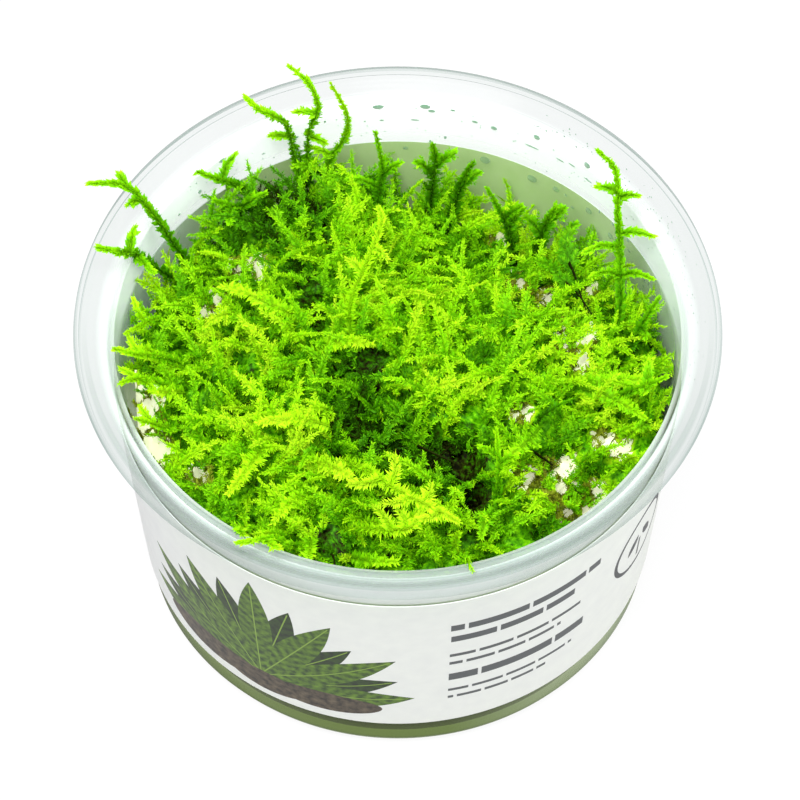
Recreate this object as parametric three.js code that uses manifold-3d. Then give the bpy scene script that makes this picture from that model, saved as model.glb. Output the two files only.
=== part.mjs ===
// A clear plastic cup of Christmas moss grown in tissue culture, in millimetres, +Z up.
// The origin is the middle of the cup's foot, and the front of the label faces -Y.
import * as THREE from "three";
import { mergeVertices } from "three/addons/utils/BufferGeometryUtils.js";
import Module from "manifold-3d";

const wasm = await Module();
wasm.setup();

// Cup
const cupHeight = 60.4;
const rimRadius = 50;
const skirtFlare = 0.3; // the hanging skirt is this much wider than the rim's top edge
const skirtDepth = 1.9;
const plastic = 0.9; // wall thickness
const footRadius = 40.45; // outside of the wall, carried down to the table
const wallSlope = 0.0796; // the wall leans out this much for each millimetre of height
const wallTop = 56.4; // where the wall turns out into the flange
const mouthHeight = 57.8;
const mouthRadius = 45.05;
const footRecess = 0.8;
const footInside = 34.8; // the foot ring's inner edge, where the recess starts
const footRing = [35.6, 38.2]; // the ring that stands on the table
const footCorner = 39.9;
const cornerHeight = 2.2;
const innerCorner = 3.2; // height where the wall's inside meets the floor
const turns = 44; // flats round the cup, a multiple of four

// Label
const labelBottom = 8;
const labelTop = 47.5;
const labelThickness = 0.35;

// Gel and moss
const clearance = 0.3; // gap between two touching pieces
const gelTop = 8.5;
const gelFoot = 37.6; // radius of the gel's flat underside
const gelCorner = 3.6;
const wallGap = 0.4; // gap between the moss and the wall
const matGap = 1.4; // the smooth mound keeps this far from the wall
const moundFlats = 26;
const moundCrest = 55; // top of the mound, before its tufts
const crestY = -10; // the crest lies forward of the middle
const backSpan = 52; // how far the back, the front and the sides lie from the crest
const frontSpan = 32;
const sideSpan = 43;
const backDrop = 17; // how much lower the mound is there
const frontDrop = 3;
const sideDrop = 5;
const cornerDrop = 4; // the back right is lower still
const shoulder = { x: -17, y: 34, radius: 21, rise: 6 }; // the back left climbs the wall
const tuftCount = 43;
const tuftSpread = 38; // radius of the spiral that the tufts stand on
const tuftLength = 11.5;
const tuftRise = 4.4; // how far a tuft's tip stands above the mound
const tuftStem = 1.4;
const tuftLeaf = 3;
const tuftStations = [[-0.2, -3], [0.4, 1.4], [1, tuftRise]]; // share of its length, height
const wallBand = 26; // tufts further out than this lie along the wall, one way or the other
const wallTurn = 1.45;
const innerTurn = 1.1; // the others turn by up to this much
const hollowFlats = 6;
// Hollows where the mat is thin and its dark inside shows: x, y, radius and depth
const hollows = [
  [-6.5, -12.5, 5.5, 6.5],
  [-1.5, -16.5, 5.5, 7.5],
  [6.5, -17.5, 7, 7.5],
  [-22.5, -4.5, 4.5, 5.5],
  [24, -19, 6.5, 6],
  [29.5, -24, 5.5, 6],
  [-39, -6.5, 5, 7],
];

const outerWall = (z) => footRadius + wallSlope * z;
const innerWall = (z) => outerWall(z) - plastic;

// Colours
const polypropylene = { color: 0xf1f5f3, roughness: 0.18, metalness: 0 };
const paper = { color: 0xf4f4f4, roughness: 0.5, metalness: 0 };
const agar = { color: 0xdfe6c4, roughness: 0.12, metalness: 0 };
const deepGreen = { color: 0x3f8f05, roughness: 0.6, metalness: 0 };
const leafGreen = { color: 0x62b90a, roughness: 0.55, metalness: 0 };
const youngGreen = { color: 0x9be60c, roughness: 0.5, metalness: 0 };

const part = new THREE.Group();

// Turns a closed geometry into a solid that can be joined and cut.
function solidOf(geometry) {
  const bare = geometry.clone();
  bare.deleteAttribute("normal");
  bare.deleteAttribute("uv");
  const merged = mergeVertices(bare, 1e-4);
  return new wasm.Manifold(
    new wasm.Mesh({
      numProp: 3,
      vertProperties: Float32Array.from(merged.attributes.position.array),
      triVerts: Uint32Array.from(merged.index.array),
    }),
  );
}

// Names a solid, colours it and stands it in the part.
function addSolid(name, solid, look) {
  const mesh = solid.getMesh();
  const geometry = new THREE.BufferGeometry();
  geometry.setAttribute("position", new THREE.BufferAttribute(mesh.vertProperties, 3));
  geometry.setIndex(new THREE.BufferAttribute(mesh.triVerts, 1));
  geometry.computeVertexNormals();
  const piece = new THREE.Mesh(geometry, new THREE.MeshStandardMaterial(look));
  piece.name = name;
  part.add(piece);
}

// A solid of revolution about +Z from [radius, height] pairs.
function turned(profile, flats = turns) {
  const points = profile.map(([radius, height]) => new THREE.Vector2(radius, height));
  return new THREE.LatheGeometry(points, flats).rotateX(Math.PI / 2);
}

// A sprig along a path: a stem whose tiers of leaves flare towards the tip. Its profile is turned
// on a lathe, with one pair for each ring, and then bent along the path.
function sprig(points, { stem, leaf, tiers, flats = 5, flatness = 1, root = 0.16 }) {
  const path = new THREE.CatmullRomCurve3(points, false, "centripetal");
  const profile = [new THREE.Vector2(0, 0), new THREE.Vector2(stem, 0)];
  const step = (1 - root) / tiers;
  for (let tier = 0; tier < tiers; tier++) {
    const start = root + tier * step;
    const taper = 1 - 0.35 * (tier / tiers);
    profile.push(new THREE.Vector2(stem * taper, start));
    profile.push(new THREE.Vector2(leaf * taper, start + 0.7 * step));
  }
  profile.push(new THREE.Vector2(0, 1));
  const geometry = new THREE.LatheGeometry(profile, flats);
  const spot = geometry.attributes.position;
  const side = new THREE.Vector3();
  const face = new THREE.Vector3();
  for (let i = 0; i < spot.count; i++) {
    const along = THREE.MathUtils.clamp(spot.getY(i), 0, 1);
    const tangent = path.getTangentAt(along);
    side.crossVectors(tangent, new THREE.Vector3(0, -0.57, 0.82)).normalize();
    face.crossVectors(side, tangent);
    const place = path.getPointAt(along);
    place.addScaledVector(side, spot.getX(i));
    place.addScaledVector(face, spot.getZ(i) * flatness);
    spot.setXYZ(i, place.x, place.y, place.z);
  }
  return geometry;
}

// The mound's height: highest at the front and left, with a shoulder at the back left.
function moundHeight(x, y) {
  const back = Math.max(0, y - crestY) / backSpan;
  const front = Math.max(0, crestY - y) / frontSpan;
  const across = x / sideSpan;
  const drop = backDrop * back ** 2 + frontDrop * front ** 2 + sideDrop * across ** 2;
  const near = Math.max(0, 1 - (Math.hypot(x - shoulder.x, y - shoulder.y) / shoulder.radius) ** 2);
  return moundCrest - drop - cornerDrop * across * back + shoulder.rise * near;
}

// Cup: one thin moulding with a foot ring, a leaning wall, a dished flange and a hanging skirt.
const skirtRadius = rimRadius + skirtFlare;
addSolid(
  "cup",
  solidOf(
    turned([
      [0, footRecess],
      [footInside, footRecess],
      [footRing[0], 0],
      [footRing[1], 0],
      [footCorner, 0.7],
      [outerWall(cornerHeight), cornerHeight],
      [outerWall(wallTop), wallTop],
      [mouthRadius + 0.9, mouthHeight - 0.6],
      [rimRadius - 0.7, cupHeight - 1.2],
      [rimRadius - 0.5, cupHeight - skirtDepth],
      [skirtRadius, cupHeight - skirtDepth],
      [rimRadius - 0.4, cupHeight],
      [rimRadius - 1, cupHeight - 0.4],
      [mouthRadius + 1.2, mouthHeight + 0.35],
      [mouthRadius + 0.7, mouthHeight + 0.45],
      [mouthRadius, mouthHeight],
      [innerWall(wallTop), wallTop],
      [innerWall(innerCorner), innerCorner],
      [footRing[1], footRecess + plastic],
      [0, footRecess + plastic],
    ]),
  ),
  polypropylene,
);

// Label: one strip wrapped right round the wall.
const labelInside = (z) => outerWall(z) + clearance;
const labelOutside = (z) => labelInside(z) + labelThickness;
addSolid(
  "label",
  solidOf(
    turned([
      [labelInside(labelBottom), labelBottom],
      [labelOutside(labelBottom), labelBottom],
      [labelOutside(labelTop), labelTop],
      [labelInside(labelTop), labelTop],
      [labelInside(labelBottom), labelBottom],
    ]),
  ),
  paper,
);

// Gel: the clear nutrient layer that the moss grows on.
const gelBottom = footRecess + plastic + clearance;
addSolid(
  "gel",
  solidOf(
    turned([
      [0, gelBottom],
      [gelFoot, gelBottom],
      [innerWall(gelCorner) - clearance, gelCorner],
      [innerWall(gelTop) - clearance, gelTop],
      [0, gelTop],
    ]),
  ),
  agar,
);

// Shoots that stand out of the mound, from a root inside it to the tip. sides are the branches:
// how far along they leave, and where their own tips are.
const shoots = [
  {
    name: "shoot_left_far",
    points: [[-32, 21, 42], [-35.5, 20, 53], [-38.5, 20, 61], [-42.5, 21.5, 66], [-48, 20.5, 68]],
    sides: [[0.6, [-43, 17.5, 65.5]], [0.72, [-43.5, 24.5, 67]]],
  },
  {
    name: "shoot_left_upper",
    points: [[-34.5, 18.5, 44], [-39, 16, 53], [-41, 13.5, 59], [-43, 10.5, 63.5], [-46.5, 9.5, 66]],
    sides: [[0.5, [-38, 9.5, 59.5]], [0.62, [-40.5, 17, 63]]],
  },
  {
    name: "shoot_left_back_low",
    points: [[-20, 33, 41], [-22.5, 32.5, 48], [-25.5, 31.5, 53], [-28.5, 30, 56.5], [-31.5, 29.5, 59]],
    sides: [[0.7, [-26, 34, 57.5]]],
  },
  {
    name: "shoot_left_back_inner",
    points: [[-20, 29, 42], [-23.5, 29, 50], [-26, 26.5, 54], [-29, 25, 57.5]],
    sides: [[0.5, [-21, 28, 55.5]], [0.7, [-26.5, 22, 55.5]]],
  },
  {
    name: "shoot_back_bent",
    points: [[-14.5, 36.5, 41], [-16.5, 38.5, 50], [-17, 37, 58], [-18, 35, 65], [-21.5, 33.5, 69.5],
      [-24, 34.5, 72]],
    sides: [[0.42, [-20.5, 37.5, 58]], [0.62, [-21.5, 36.5, 66.5]]],
  },
  {
    name: "shoot_back_tall",
    points: [[-13.5, 37, 42], [-14.5, 38, 51], [-14, 36.5, 61], [-12.5, 35, 68.5], [-14, 36, 73.5],
      [-17, 37, 76.5]],
    sides: [[0.35, [-11.5, 37.5, 56]], [0.55, [-16.5, 36, 66]]],
  },
  {
    name: "shoot_back_slim",
    points: [[-12, 35, 43], [-11, 38.5, 50], [-8.5, 36.5, 58.5], [-8, 35.5, 66], [-10.5, 35.5, 74]],
    sides: [[0.3, [-14, 39, 53]]],
  },
  {
    name: "shoot_back_middle",
    points: [[-4, 30.5, 42], [-3, 32.5, 49], [-2.5, 33, 56], [-3.5, 33.5, 64]],
    sides: [[0.4, [-8, 32, 54]], [0.55, [0.5, 33, 57]]],
  },
  {
    name: "shoot_back_broad",
    points: [[5, 32, 42], [5.5, 34, 49], [6, 33.5, 57], [5.5, 33.5, 61]],
    sides: [[0.45, [3, 34, 56]], [0.55, [9, 35, 57]]],
  },
  {
    name: "shoot_back_leaning",
    points: [[8, 31, 41], [9.5, 32.5, 49], [10.5, 32, 54], [12, 31.5, 59]],
    sides: [[0.5, [13, 34, 53]]],
  },
  {
    name: "shoot_right_back_thin",
    points: [[19, 23.5, 41], [18, 24.5, 48], [16.5, 24, 55], [14, 24.5, 61.5]],
    sides: [[0.45, [20, 26, 54]], [0.6, [19.5, 24, 57.5]]],
  },
  {
    name: "shoot_right_back_leafy",
    points: [[21, 22.5, 40], [22.5, 24.5, 46.5], [23.5, 25, 51.5], [25, 25, 55.5]],
    sides: [[0.45, [20.5, 26.5, 51]], [0.6, [26.5, 27, 53]]],
  },
  {
    name: "shoot_right_tall",
    points: [[33, 6.5, 43], [35, 10, 48.5], [35, 15.5, 54.5], [34.5, 18.5, 62], [34, 22, 69], [31, 23, 73]],
    sides: [
      [0.34, [30, 11, 56]], [0.34, [40, 11.5, 55]], [0.46, [29, 14, 58.5]], [0.52, [40, 16.5, 59.5]],
      [0.7, [31, 20.5, 67]], [0.68, [37.5, 19.5, 66]],
    ],
  },
  {
    name: "shoot_left_top",
    points: [[-34, 7, 46], [-37.5, 5, 53], [-39.5, 0.5, 58], [-42, -4, 62]],
    sides: [[0.6, [-41, 3.5, 60.5]]],
  },
  {
    name: "shoot_left_middle",
    points: [[-33, 0.5, 47], [-37, -3, 54.5], [-40, -6.5, 60], [-43.5, -7.5, 63]],
    sides: [[0.6, [-41.5, -3.5, 60.5]]],
  },
  {
    name: "shoot_left_low",
    points: [[-33.5, -5.5, 48], [-37.5, -8, 55], [-40, -11, 60], [-42.5, -14, 63]],
    sides: [[0.6, [-42.5, -9.5, 60.5]], [0.5, [-37, -13, 59]]],
  },
  {
    name: "shoot_left_front",
    points: [[-33.5, -13, 49], [-36.5, -17, 56], [-40, -19.5, 61.5]],
    sides: [[0.6, [-39.5, -15.5, 59]]],
  },
  {
    name: "shoot_crest_upright",
    points: [[-7, 1, 50], [-7.5, 4, 58], [-5, 7.5, 64], [-2.5, 12, 69], [-3, 13.5, 71]],
    sides: [[0.45, [-8, 9.5, 63]], [0.6, [-1.5, 7.5, 65.5]]],
  },
  {
    name: "shoot_crest_long",
    points: [[-9, -19.5, 50], [-4.5, -27.5, 59], [0.5, -34, 63], [5.5, -38.5, 65.5], [9, -41.5, 66.5]],
    sides: [
      [0.35, [-7.5, -30.5, 60]], [0.42, [-0.5, -26, 61]], [0.58, [-2.5, -36, 63]], [0.66, [5, -33, 64]],
      [0.8, [3.5, -40.5, 65.5]],
    ],
  },
  {
    name: "shoot_front_forked",
    points: [[-9, -31, 48], [-4.5, -36, 56], [-1, -38.5, 59.5], [2, -39.5, 62], [3.5, -37.5, 63]],
    sides: [[0.5, [-3.5, -34.5, 60]], [0.68, [-0.5, -35.5, 62]]],
  },
  {
    name: "shoot_front_edge",
    points: [[-16.5, -36.5, 48], [-18, -38.5, 56.5], [-20.5, -41.5, 61.5], [-24, -43, 63]],
    sides: [[0.6, [-17.5, -43, 61.5]]],
  },
  {
    name: "shoot_right_front",
    points: [[15, -27, 48], [15.5, -25.5, 55], [15, -22, 62]],
    sides: [[0.7, [12.5, -24, 60.5]], [0.62, [18, -25.5, 60]]],
  },
  {
    name: "shoot_right_edge",
    points: [[33.5, 0, 45], [36.5, 1, 52], [38.5, 2.5, 57], [40.5, 3.5, 61]],
    sides: [[0.55, [38.5, -1.5, 57]]],
  },
  {
    name: "shoot_right_reach",
    points: [[31, -7.5, 46], [34, -9.5, 53], [38, -11, 58], [41, -11.5, 61]],
    sides: [[0.66, [37.5, -14, 60]], [0.7, [38.5, -7.5, 60]]],
  },
];
const shootStem = 0.55;
const shootLeaf = 1.1;
const branchStem = 0.4;
const branchLeaf = 0.85;
const tierPitch = 6;
const pocketSlack = 2.4 * clearance; // the pockets are this much wider than their shoots
const youngShoots = ["shoot_crest_upright", "shoot_crest_long", "shoot_front_forked", "shoot_front_edge"];

const vector = ([x, y, z]) => new THREE.Vector3(x, y, z);

// The side branches of a shoot, each made wider by extra.
function branches({ points, sides }, extra = 0) {
  const path = new THREE.CatmullRomCurve3(points.map(vector), false, "centripetal");
  return sides.map(([along, tip]) => {
    const fork = path.getPointAt(along);
    const end = vector(tip);
    end.addScaledVector(end.clone().sub(fork).normalize(), 2 * extra);
    const knee = fork.clone().lerp(end, 0.5).addScaledVector(path.getTangentAt(along), 0.5);
    const width = { stem: branchStem + extra, leaf: branchLeaf + extra };
    return solidOf(sprig([fork, knee, end], { ...width, tiers: 1, flats: 4, root: 0.1 }));
  });
}

// One shoot with its side branches fused to it.
function shootSolid(shoot) {
  const nodes = shoot.points.map(vector);
  const path = new THREE.CatmullRomCurve3(nodes, false, "centripetal");
  const tiers = Math.round(path.getLength() / tierPitch);
  const main = solidOf(sprig(nodes, { stem: shootStem, leaf: shootLeaf, tiers }));
  return branches(shoot).reduce((solid, branch) => solid.add(branch), main);
}

// The pocket in the mat that a shoot sits in, a little deeper than its root.
function pocketSolid(shoot) {
  const nodes = shoot.points.map(vector);
  const deeper = nodes[0].clone().sub(nodes[1]).setLength(2 * clearance);
  nodes.unshift(nodes[0].clone().add(deeper));
  const reach = shootLeaf + pocketSlack;
  const main = solidOf(sprig(nodes, { stem: reach, leaf: reach, tiers: 1, root: 0.3 }));
  return branches(shoot, pocketSlack).reduce((solid, branch) => solid.add(branch), main);
}

// Moss mat: a mound that fills the cup, with tufts fused all over it on a spiral.
function moundSolid() {
  const shares = [[0, 0], [0.93, 0], [1, 0.55], [1, 0.86], [0.93, 0.95], [0.72, 0.99], [0.4, 1], [0, 1]];
  const geometry = turned(shares, moundFlats);
  const spot = geometry.attributes.position;
  const floor = gelTop + clearance;
  for (let i = 0; i < spot.count; i++) {
    const level = spot.getZ(i);
    const rough = floor + level * (moundCrest - floor);
    const reach = innerWall(Math.min(rough, mouthHeight)) - matGap;
    const x = spot.getX(i) * reach;
    const y = spot.getY(i) * reach;
    spot.setXYZ(i, x, y, floor + level * (moundHeight(x, y) - floor));
  }
  return solidOf(geometry);
}

// A bowl that is cut out of the mound's top.
function hollowSolid([x, y, radius, depth]) {
  const shares = [[0, -1], [0.5, -0.9], [0.85, -0.4], [1.1, 0.3], [0, 0.3]];
  const profile = shares.map(([reach, level]) => [reach * radius, level * depth]);
  return solidOf(turned(profile, hollowFlats).rotateZ(x).translate(x, y, moundHeight(x, y)));
}

// A tuft is a flat leafy blade that rises out of the mound as it runs along it. One whose root
// would hang in a hollow is left out.
function tuftSolid(index) {
  const goldenAngle = Math.PI * (3 - Math.sqrt(5));
  const radius = tuftSpread * Math.sqrt((index + 0.5) / tuftCount);
  const angle = index * goldenAngle;
  const sense = index % 2 ? 1 : -1;
  const swing = radius > wallBand ? wallTurn * sense : innerTurn * Math.sin(goldenAngle * index);
  const heading = new THREE.Vector3(Math.cos(angle + swing), Math.sin(angle + swing), 0);
  const start = new THREE.Vector3(radius * Math.cos(angle), radius * Math.sin(angle), 0);
  const stations = tuftStations.map(([share, rise]) => {
    const place = start.clone().addScaledVector(heading, share * tuftLength);
    place.z = moundHeight(place.x, place.y) + rise;
    return place;
  });
  const root = stations[0];
  const loose = hollows.some(([x, y, reach]) => Math.hypot(root.x - x, root.y - y) < reach + 1);
  if (loose) return null;
  const shape = { stem: tuftStem, leaf: tuftLeaf, tiers: 1, flats: 4, flatness: 0.5, root: 0.2 };
  return solidOf(sprig(stations, shape));
}

// The space inside the cup, clear of its wall and flange.
const bowl = solidOf(
  turned([
    [0, gelTop + 0.1],
    [innerWall(gelTop) - wallGap, gelTop + 0.1],
    [innerWall(wallTop) - wallGap, wallTop],
    [mouthRadius - wallGap, mouthHeight],
    [rimRadius - 1, cupHeight + 1],
    [rimRadius - 1, 90],
    [0, 90],
  ]),
);

let mat = moundSolid();
for (const hollow of hollows) {
  mat = mat.subtract(hollowSolid(hollow));
}
for (let index = 0; index < tuftCount; index++) {
  const tuft = tuftSolid(index);
  if (tuft) mat = mat.add(tuft);
}
for (const shoot of shoots) {
  mat = mat.subtract(pocketSolid(shoot));
}
addSolid("moss_mat", mat.intersect(bowl), deepGreen);
for (const shoot of shoots) {
  addSolid(shoot.name, shootSolid(shoot), youngShoots.includes(shoot.name) ? youngGreen : leafGreen);
}

export default part;
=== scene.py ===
# Gives a culture cup of Christmas moss its looks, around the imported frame.
import math

import bpy
import numpy as np
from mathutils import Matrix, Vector


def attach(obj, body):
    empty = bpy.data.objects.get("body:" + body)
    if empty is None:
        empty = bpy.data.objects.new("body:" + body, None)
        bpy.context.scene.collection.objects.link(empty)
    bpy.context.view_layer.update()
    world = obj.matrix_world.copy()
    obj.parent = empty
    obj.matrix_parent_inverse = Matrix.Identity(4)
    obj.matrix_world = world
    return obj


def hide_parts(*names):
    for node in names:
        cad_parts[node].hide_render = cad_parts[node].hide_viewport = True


bl_info = {
    "name": "Culture cup of Christmas moss",
    "version": (1, 0, 0),
    "blender": (4, 5, 0),
    "location": "3D View > Sidebar > Moss cup",
    "description": "Models a clear culture cup, its label and gel, and the moss that fills it",
    "category": "Object",
}

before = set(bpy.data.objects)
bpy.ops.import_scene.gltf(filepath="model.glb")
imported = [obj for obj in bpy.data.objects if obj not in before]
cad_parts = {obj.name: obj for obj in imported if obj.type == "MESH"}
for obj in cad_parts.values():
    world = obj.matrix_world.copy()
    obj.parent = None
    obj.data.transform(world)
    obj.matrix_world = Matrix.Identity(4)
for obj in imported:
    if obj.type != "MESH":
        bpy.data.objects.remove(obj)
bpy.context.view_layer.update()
MM = 0.001
SEED = 20417

# The wall is a cone: its outside radius at the table, and how far it leans out with height, in mm.
WALL_FOOT = 40.45
WALL_LEAN = 0.0796
PLASTIC = 0.9
MOUTH_HEIGHT = 57.8
CUP_HEIGHT = 60.4
GEL_TOP = 8.5
# The dished flange climbs from the mouth to this height, between these radii.
FLANGE_TOP = 59.9
FLANGE_INNER, FLANGE_OUTER = 45.0, 48.8

# Moss keeps this far off the wall, reaches this far out over the flange, and stays in the CAD
# solids' box, in mm.
MOSS_GAP = 0.3
FLANGE_REACH = 49.6
BOX_HALF = 50.2

# The moss mound, in mm: its crest near the front, and for the back, the front and the sides how
# far they lie from the crest and how much lower they are. The back right is lower still.
MOUND_CREST = 55.0
CREST_Y = -10.0
BACK_SPAN, BACK_DROP = 52, 17
FRONT_SPAN, FRONT_DROP = 32, 3
SIDE_SPAN, SIDE_DROP = 43, 5
CORNER_DROP = 4
# The back left climbs the wall: place, radius and rise of its shoulder
SHOULDER = (-17.0, 34.0, 21.0, 6.0)
MAT_RADIUS = 41.2
# The piece in the mat's middle has this radius, and the other four lie round it.
CREST_RADIUS = 17
# Old growth lies this far below the mound's top.
THATCH_DEPTH = 6.5
THATCH_RADIUS = 41.3
# The fronds' three layers: how far below the top they root, and how much darker they are, for older leaves
# and as painted shade
LAYER_DEPTHS = np.array([8.2, 13.5, 21.0])
LAYER_AGE_AND_SHADE = np.array([0, 0.1, 0.22])

# Hollows where the mat is thin: place, radius and depth in mm, and how much painted shade darkens their
# inside
HOLLOWS = [
    (-6.5, -12.5, 5.5, 6.5, 1.0),
    (-1.5, -16.5, 5.5, 7.5, 1.0),
    (6.5, -17.5, 7.0, 7.5, 1.0),
    (-22.5, -4.5, 4.5, 5.5, 0.7),
    (24.0, -19.0, 6.5, 6.0, 0.25),
    (29.5, -24.0, 5.5, 6.0, 0.25),
    (-39.0, -6.5, 5.0, 7.0, 0.2),
]

# The camera looks at the cup's middle, in mm, shifted up in the picture.
LOOK_AT = (0.35, 0.0, 30.2)
LOOK_SHIFT = 4.58
# Roughly the way to the eye, which fronds turn their flat side to
TOWARD_EYE = (0, -0.57, 0.82)

# Area lights: name, place and size in metres, and power in watts
LIGHTS = [
    ("key", (-0.09, -0.20, 0.62), 0.28, 8.0),
    ("fill", (0.42, -0.06, 0.42), 0.5, 3.2),
]
SKY_STRENGTH = 0.85

# Places on the moss palette: the mat, the leaves' own end, leaves painted as backlit, and pale agar painted
# as glowing with light from below
MAT_TONE = 0.64
LEAF_END = 0.88
PAINTED_BACKLIGHT = 0.935
PAINTED_LIT_AGAR = 1.15

# Sizes of the patterns in the materials, in mm. The film's grain is drawn coarse enough to show.
FLOW_MARKS = 11.1
AGAR_CLOUDS = 8.33
LEAF_PATCHES = 0.714
INK_CLOUDS = 2.86
INK_PATCHES = 1.11
STONE_GRAIN = 1.25
FILM_GRAIN = 0.1667
DAMP_PATCHES = 7.14
PAPER_CLOUDS = 25


def outer_wall(z):
    """Outside radius of the wall at height z, in mm."""
    return WALL_FOOT + WALL_LEAN * z


def inner_wall(z):
    """Inside radius of the wall at height z, in mm."""
    return outer_wall(z) - PLASTIC


def on_shoulder(x, y):
    """One in the middle of the shoulder, falling to zero at its edge."""
    reach = np.hypot(x - SHOULDER[0], y - SHOULDER[1]) / SHOULDER[2]
    return np.maximum(0, 1 - reach**2)


def smooth_mound(x, y):
    """Height of the moss mound's top at a place, without its hollows, in mm."""
    back = np.maximum(0, y - CREST_Y) / BACK_SPAN
    front = np.maximum(0, CREST_Y - y) / FRONT_SPAN
    across = x / SIDE_SPAN
    drop = BACK_DROP * back**2 + FRONT_DROP * front**2 + SIDE_DROP * across**2
    drop = drop + CORNER_DROP * across * back
    return MOUND_CREST - drop + SHOULDER[3] * on_shoulder(x, y)


def hollow_drop(x, y):
    """How far the hollows lower the mound at a place, in mm."""
    drop = np.zeros(np.shape(x))
    for hollow_x, hollow_y, radius, depth, _ in HOLLOWS:
        share = np.hypot(x - hollow_x, y - hollow_y) / radius
        drop = np.maximum(drop, depth * np.clip(1 - share**3, 0, 1))
    return drop


def mound_height(x, y):
    """Height of the moss mound's top at a place, in mm."""
    return smooth_mound(x, y) - hollow_drop(x, y)


# Settings that a user would change


class CupSettings(bpy.types.PropertyGroup):
    plastic: bpy.props.FloatVectorProperty(
        name="Plastic",
        description="Colour of the clear polypropylene's haze",
        subtype="COLOR",
        default=(0.88, 0.92, 0.91),
        min=0,
        max=1,
    )
    flats: bpy.props.IntProperty(
        name="Flats",
        description="Number of flats round the moulding",
        default=192,
        min=32,
    )


class LabelSettings(bpy.types.PropertyGroup):
    bottom: bpy.props.FloatProperty(
        name="Bottom edge",
        description="Height of the label's lower edge above the table",
        default=8.0 * MM,
        unit="LENGTH",
    )
    top: bpy.props.FloatProperty(
        name="Top edge",
        description="Height of the label's upper edge above the table",
        default=47.5 * MM,
        unit="LENGTH",
    )
    film: bpy.props.FloatProperty(
        name="Film thickness",
        description="Thickness of the printed film",
        default=0.15 * MM,
        unit="LENGTH",
    )


class GelSettings(bpy.types.PropertyGroup):
    top: bpy.props.FloatProperty(
        name="Gel top",
        description="Height of the gel's surface above the table",
        default=GEL_TOP * MM,
        unit="LENGTH",
    )


class MossSettings(bpy.types.PropertyGroup):
    fronds: bpy.props.IntProperty(
        name="Fronds",
        description="Number of fronds in the mat",
        default=1700,
        min=1,
    )
    leaf: bpy.props.FloatProperty(
        name="Leaf length",
        description="Length of a full-grown leaf",
        default=0.95 * MM,
        unit="LENGTH",
    )


class StageSettings(bpy.types.PropertyGroup):
    elevation: bpy.props.FloatProperty(
        name="Elevation",
        description="Angle of the camera above the horizon",
        default=math.radians(55.34),
        subtype="ANGLE",
    )
    distance: bpy.props.FloatProperty(
        name="Distance",
        description="Distance of the camera from the middle of the cup",
        default=0.8,
        unit="LENGTH",
    )
    lens: bpy.props.FloatProperty(
        name="Focal length",
        description="Focal length on a 36 mm sensor, in millimetres",
        default=225.5,
        unit="CAMERA",
    )


# Modelling helpers


def linear(hexcode):
    """An sRGB hex colour as linear red, green, blue and alpha."""
    values = [int(hexcode[i : i + 2], 16) / 255 for i in (0, 2, 4)]
    return [v / 12.92 if v <= 0.04045 else ((v + 0.055) / 1.055) ** 2.4 for v in values] + [1.0]


def deselect():
    """Leaves object mode's selection empty."""
    bpy.ops.object.select_all(action="DESELECT")


def finish(piece, name, slot, *nodes):
    """Names a piece, joins it to the body and hides the nodes that it stands for."""
    piece.name = name
    piece.data.name = name
    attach(piece, "root")
    if nodes:
        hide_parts(*nodes)
    return piece


def turned(profile, flats):
    """Models a closed turned shape: a disc whose edge is extruded and scaled along the profile."""
    deselect()
    (radius, height), rest = profile[0], profile[1:]
    bpy.ops.mesh.primitive_circle_add(
        vertices=flats, radius=radius * MM, fill_type="NGON", location=(0, 0, height * MM)
    )
    piece = bpy.context.object
    bpy.ops.object.transform_apply(location=True)
    bpy.ops.object.mode_set(mode="EDIT")
    bpy.ops.mesh.select_mode(type="EDGE")
    bpy.ops.mesh.select_all(action="SELECT")
    for new_radius, new_height in rest:
        bpy.ops.mesh.extrude_edges_move(
            TRANSFORM_OT_translate={"value": (0, 0, (new_height - height) * MM)}
        )
        share = new_radius / radius
        bpy.ops.transform.resize(value=(share, share, 1), center_override=(0, 0, new_height * MM))
        radius, height = new_radius, new_height
    bpy.ops.mesh.edge_face_add()
    bpy.ops.mesh.select_all(action="SELECT")
    bpy.ops.mesh.normals_make_consistent(inside=False)
    bpy.ops.object.mode_set(mode="OBJECT")
    return piece


def mesh_object(name, points, faces, uv):
    """A mesh object from arrays: points in mm, triangles, and one palette place for each point."""
    mesh = bpy.data.meshes.new(name)
    mesh.vertices.add(len(points))
    mesh.vertices.foreach_set("co", (points * MM).astype(np.float32).ravel())
    mesh.loops.add(faces.size)
    mesh.loops.foreach_set("vertex_index", faces.astype(np.int32).ravel())
    mesh.polygons.add(len(faces))
    mesh.polygons.foreach_set("loop_start", np.arange(0, faces.size, 3, dtype=np.int32))
    layer = mesh.uv_layers.new(name="palette")
    layer.data.foreach_set("uv", uv[faces.ravel()].astype(np.float32).ravel())
    mesh.update(calc_edges=True)
    mesh.validate()
    piece = bpy.data.objects.new(name, mesh)
    bpy.context.scene.collection.objects.link(piece)
    return piece


# Materials


def blank_material(name):
    """A new material with an empty tree and its output node."""
    material = bpy.data.materials.new(name)
    material.use_nodes = True
    tree = material.node_tree
    tree.nodes.clear()
    return material, tree, tree.nodes.new("ShaderNodeOutputMaterial")


def add(tree, kind, inputs=None, stops=(), output=None, **settings):
    """Adds a node with its settings and returns its output, the first one unless it is named.

    inputs gives values, or output sockets to link from, and stops a ramp's places and hex colours.
    """
    node = tree.nodes.new("ShaderNode" + kind)
    for key, value in settings.items():
        setattr(node, key, value)
    for key, value in (inputs or {}).items():
        if isinstance(value, bpy.types.NodeSocket):
            tree.links.new(value, node.inputs[key])
        else:
            node.inputs[key].default_value = value
    for number, (place, hexcode) in enumerate(stops):
        elements = node.color_ramp.elements
        element = elements[number] if number < len(elements) else elements.new(place)
        element.position = place
        element.color = linear(hexcode)
    if output:
        return node.outputs[output]
    return next(socket for socket in node.outputs if socket.enabled)


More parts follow.
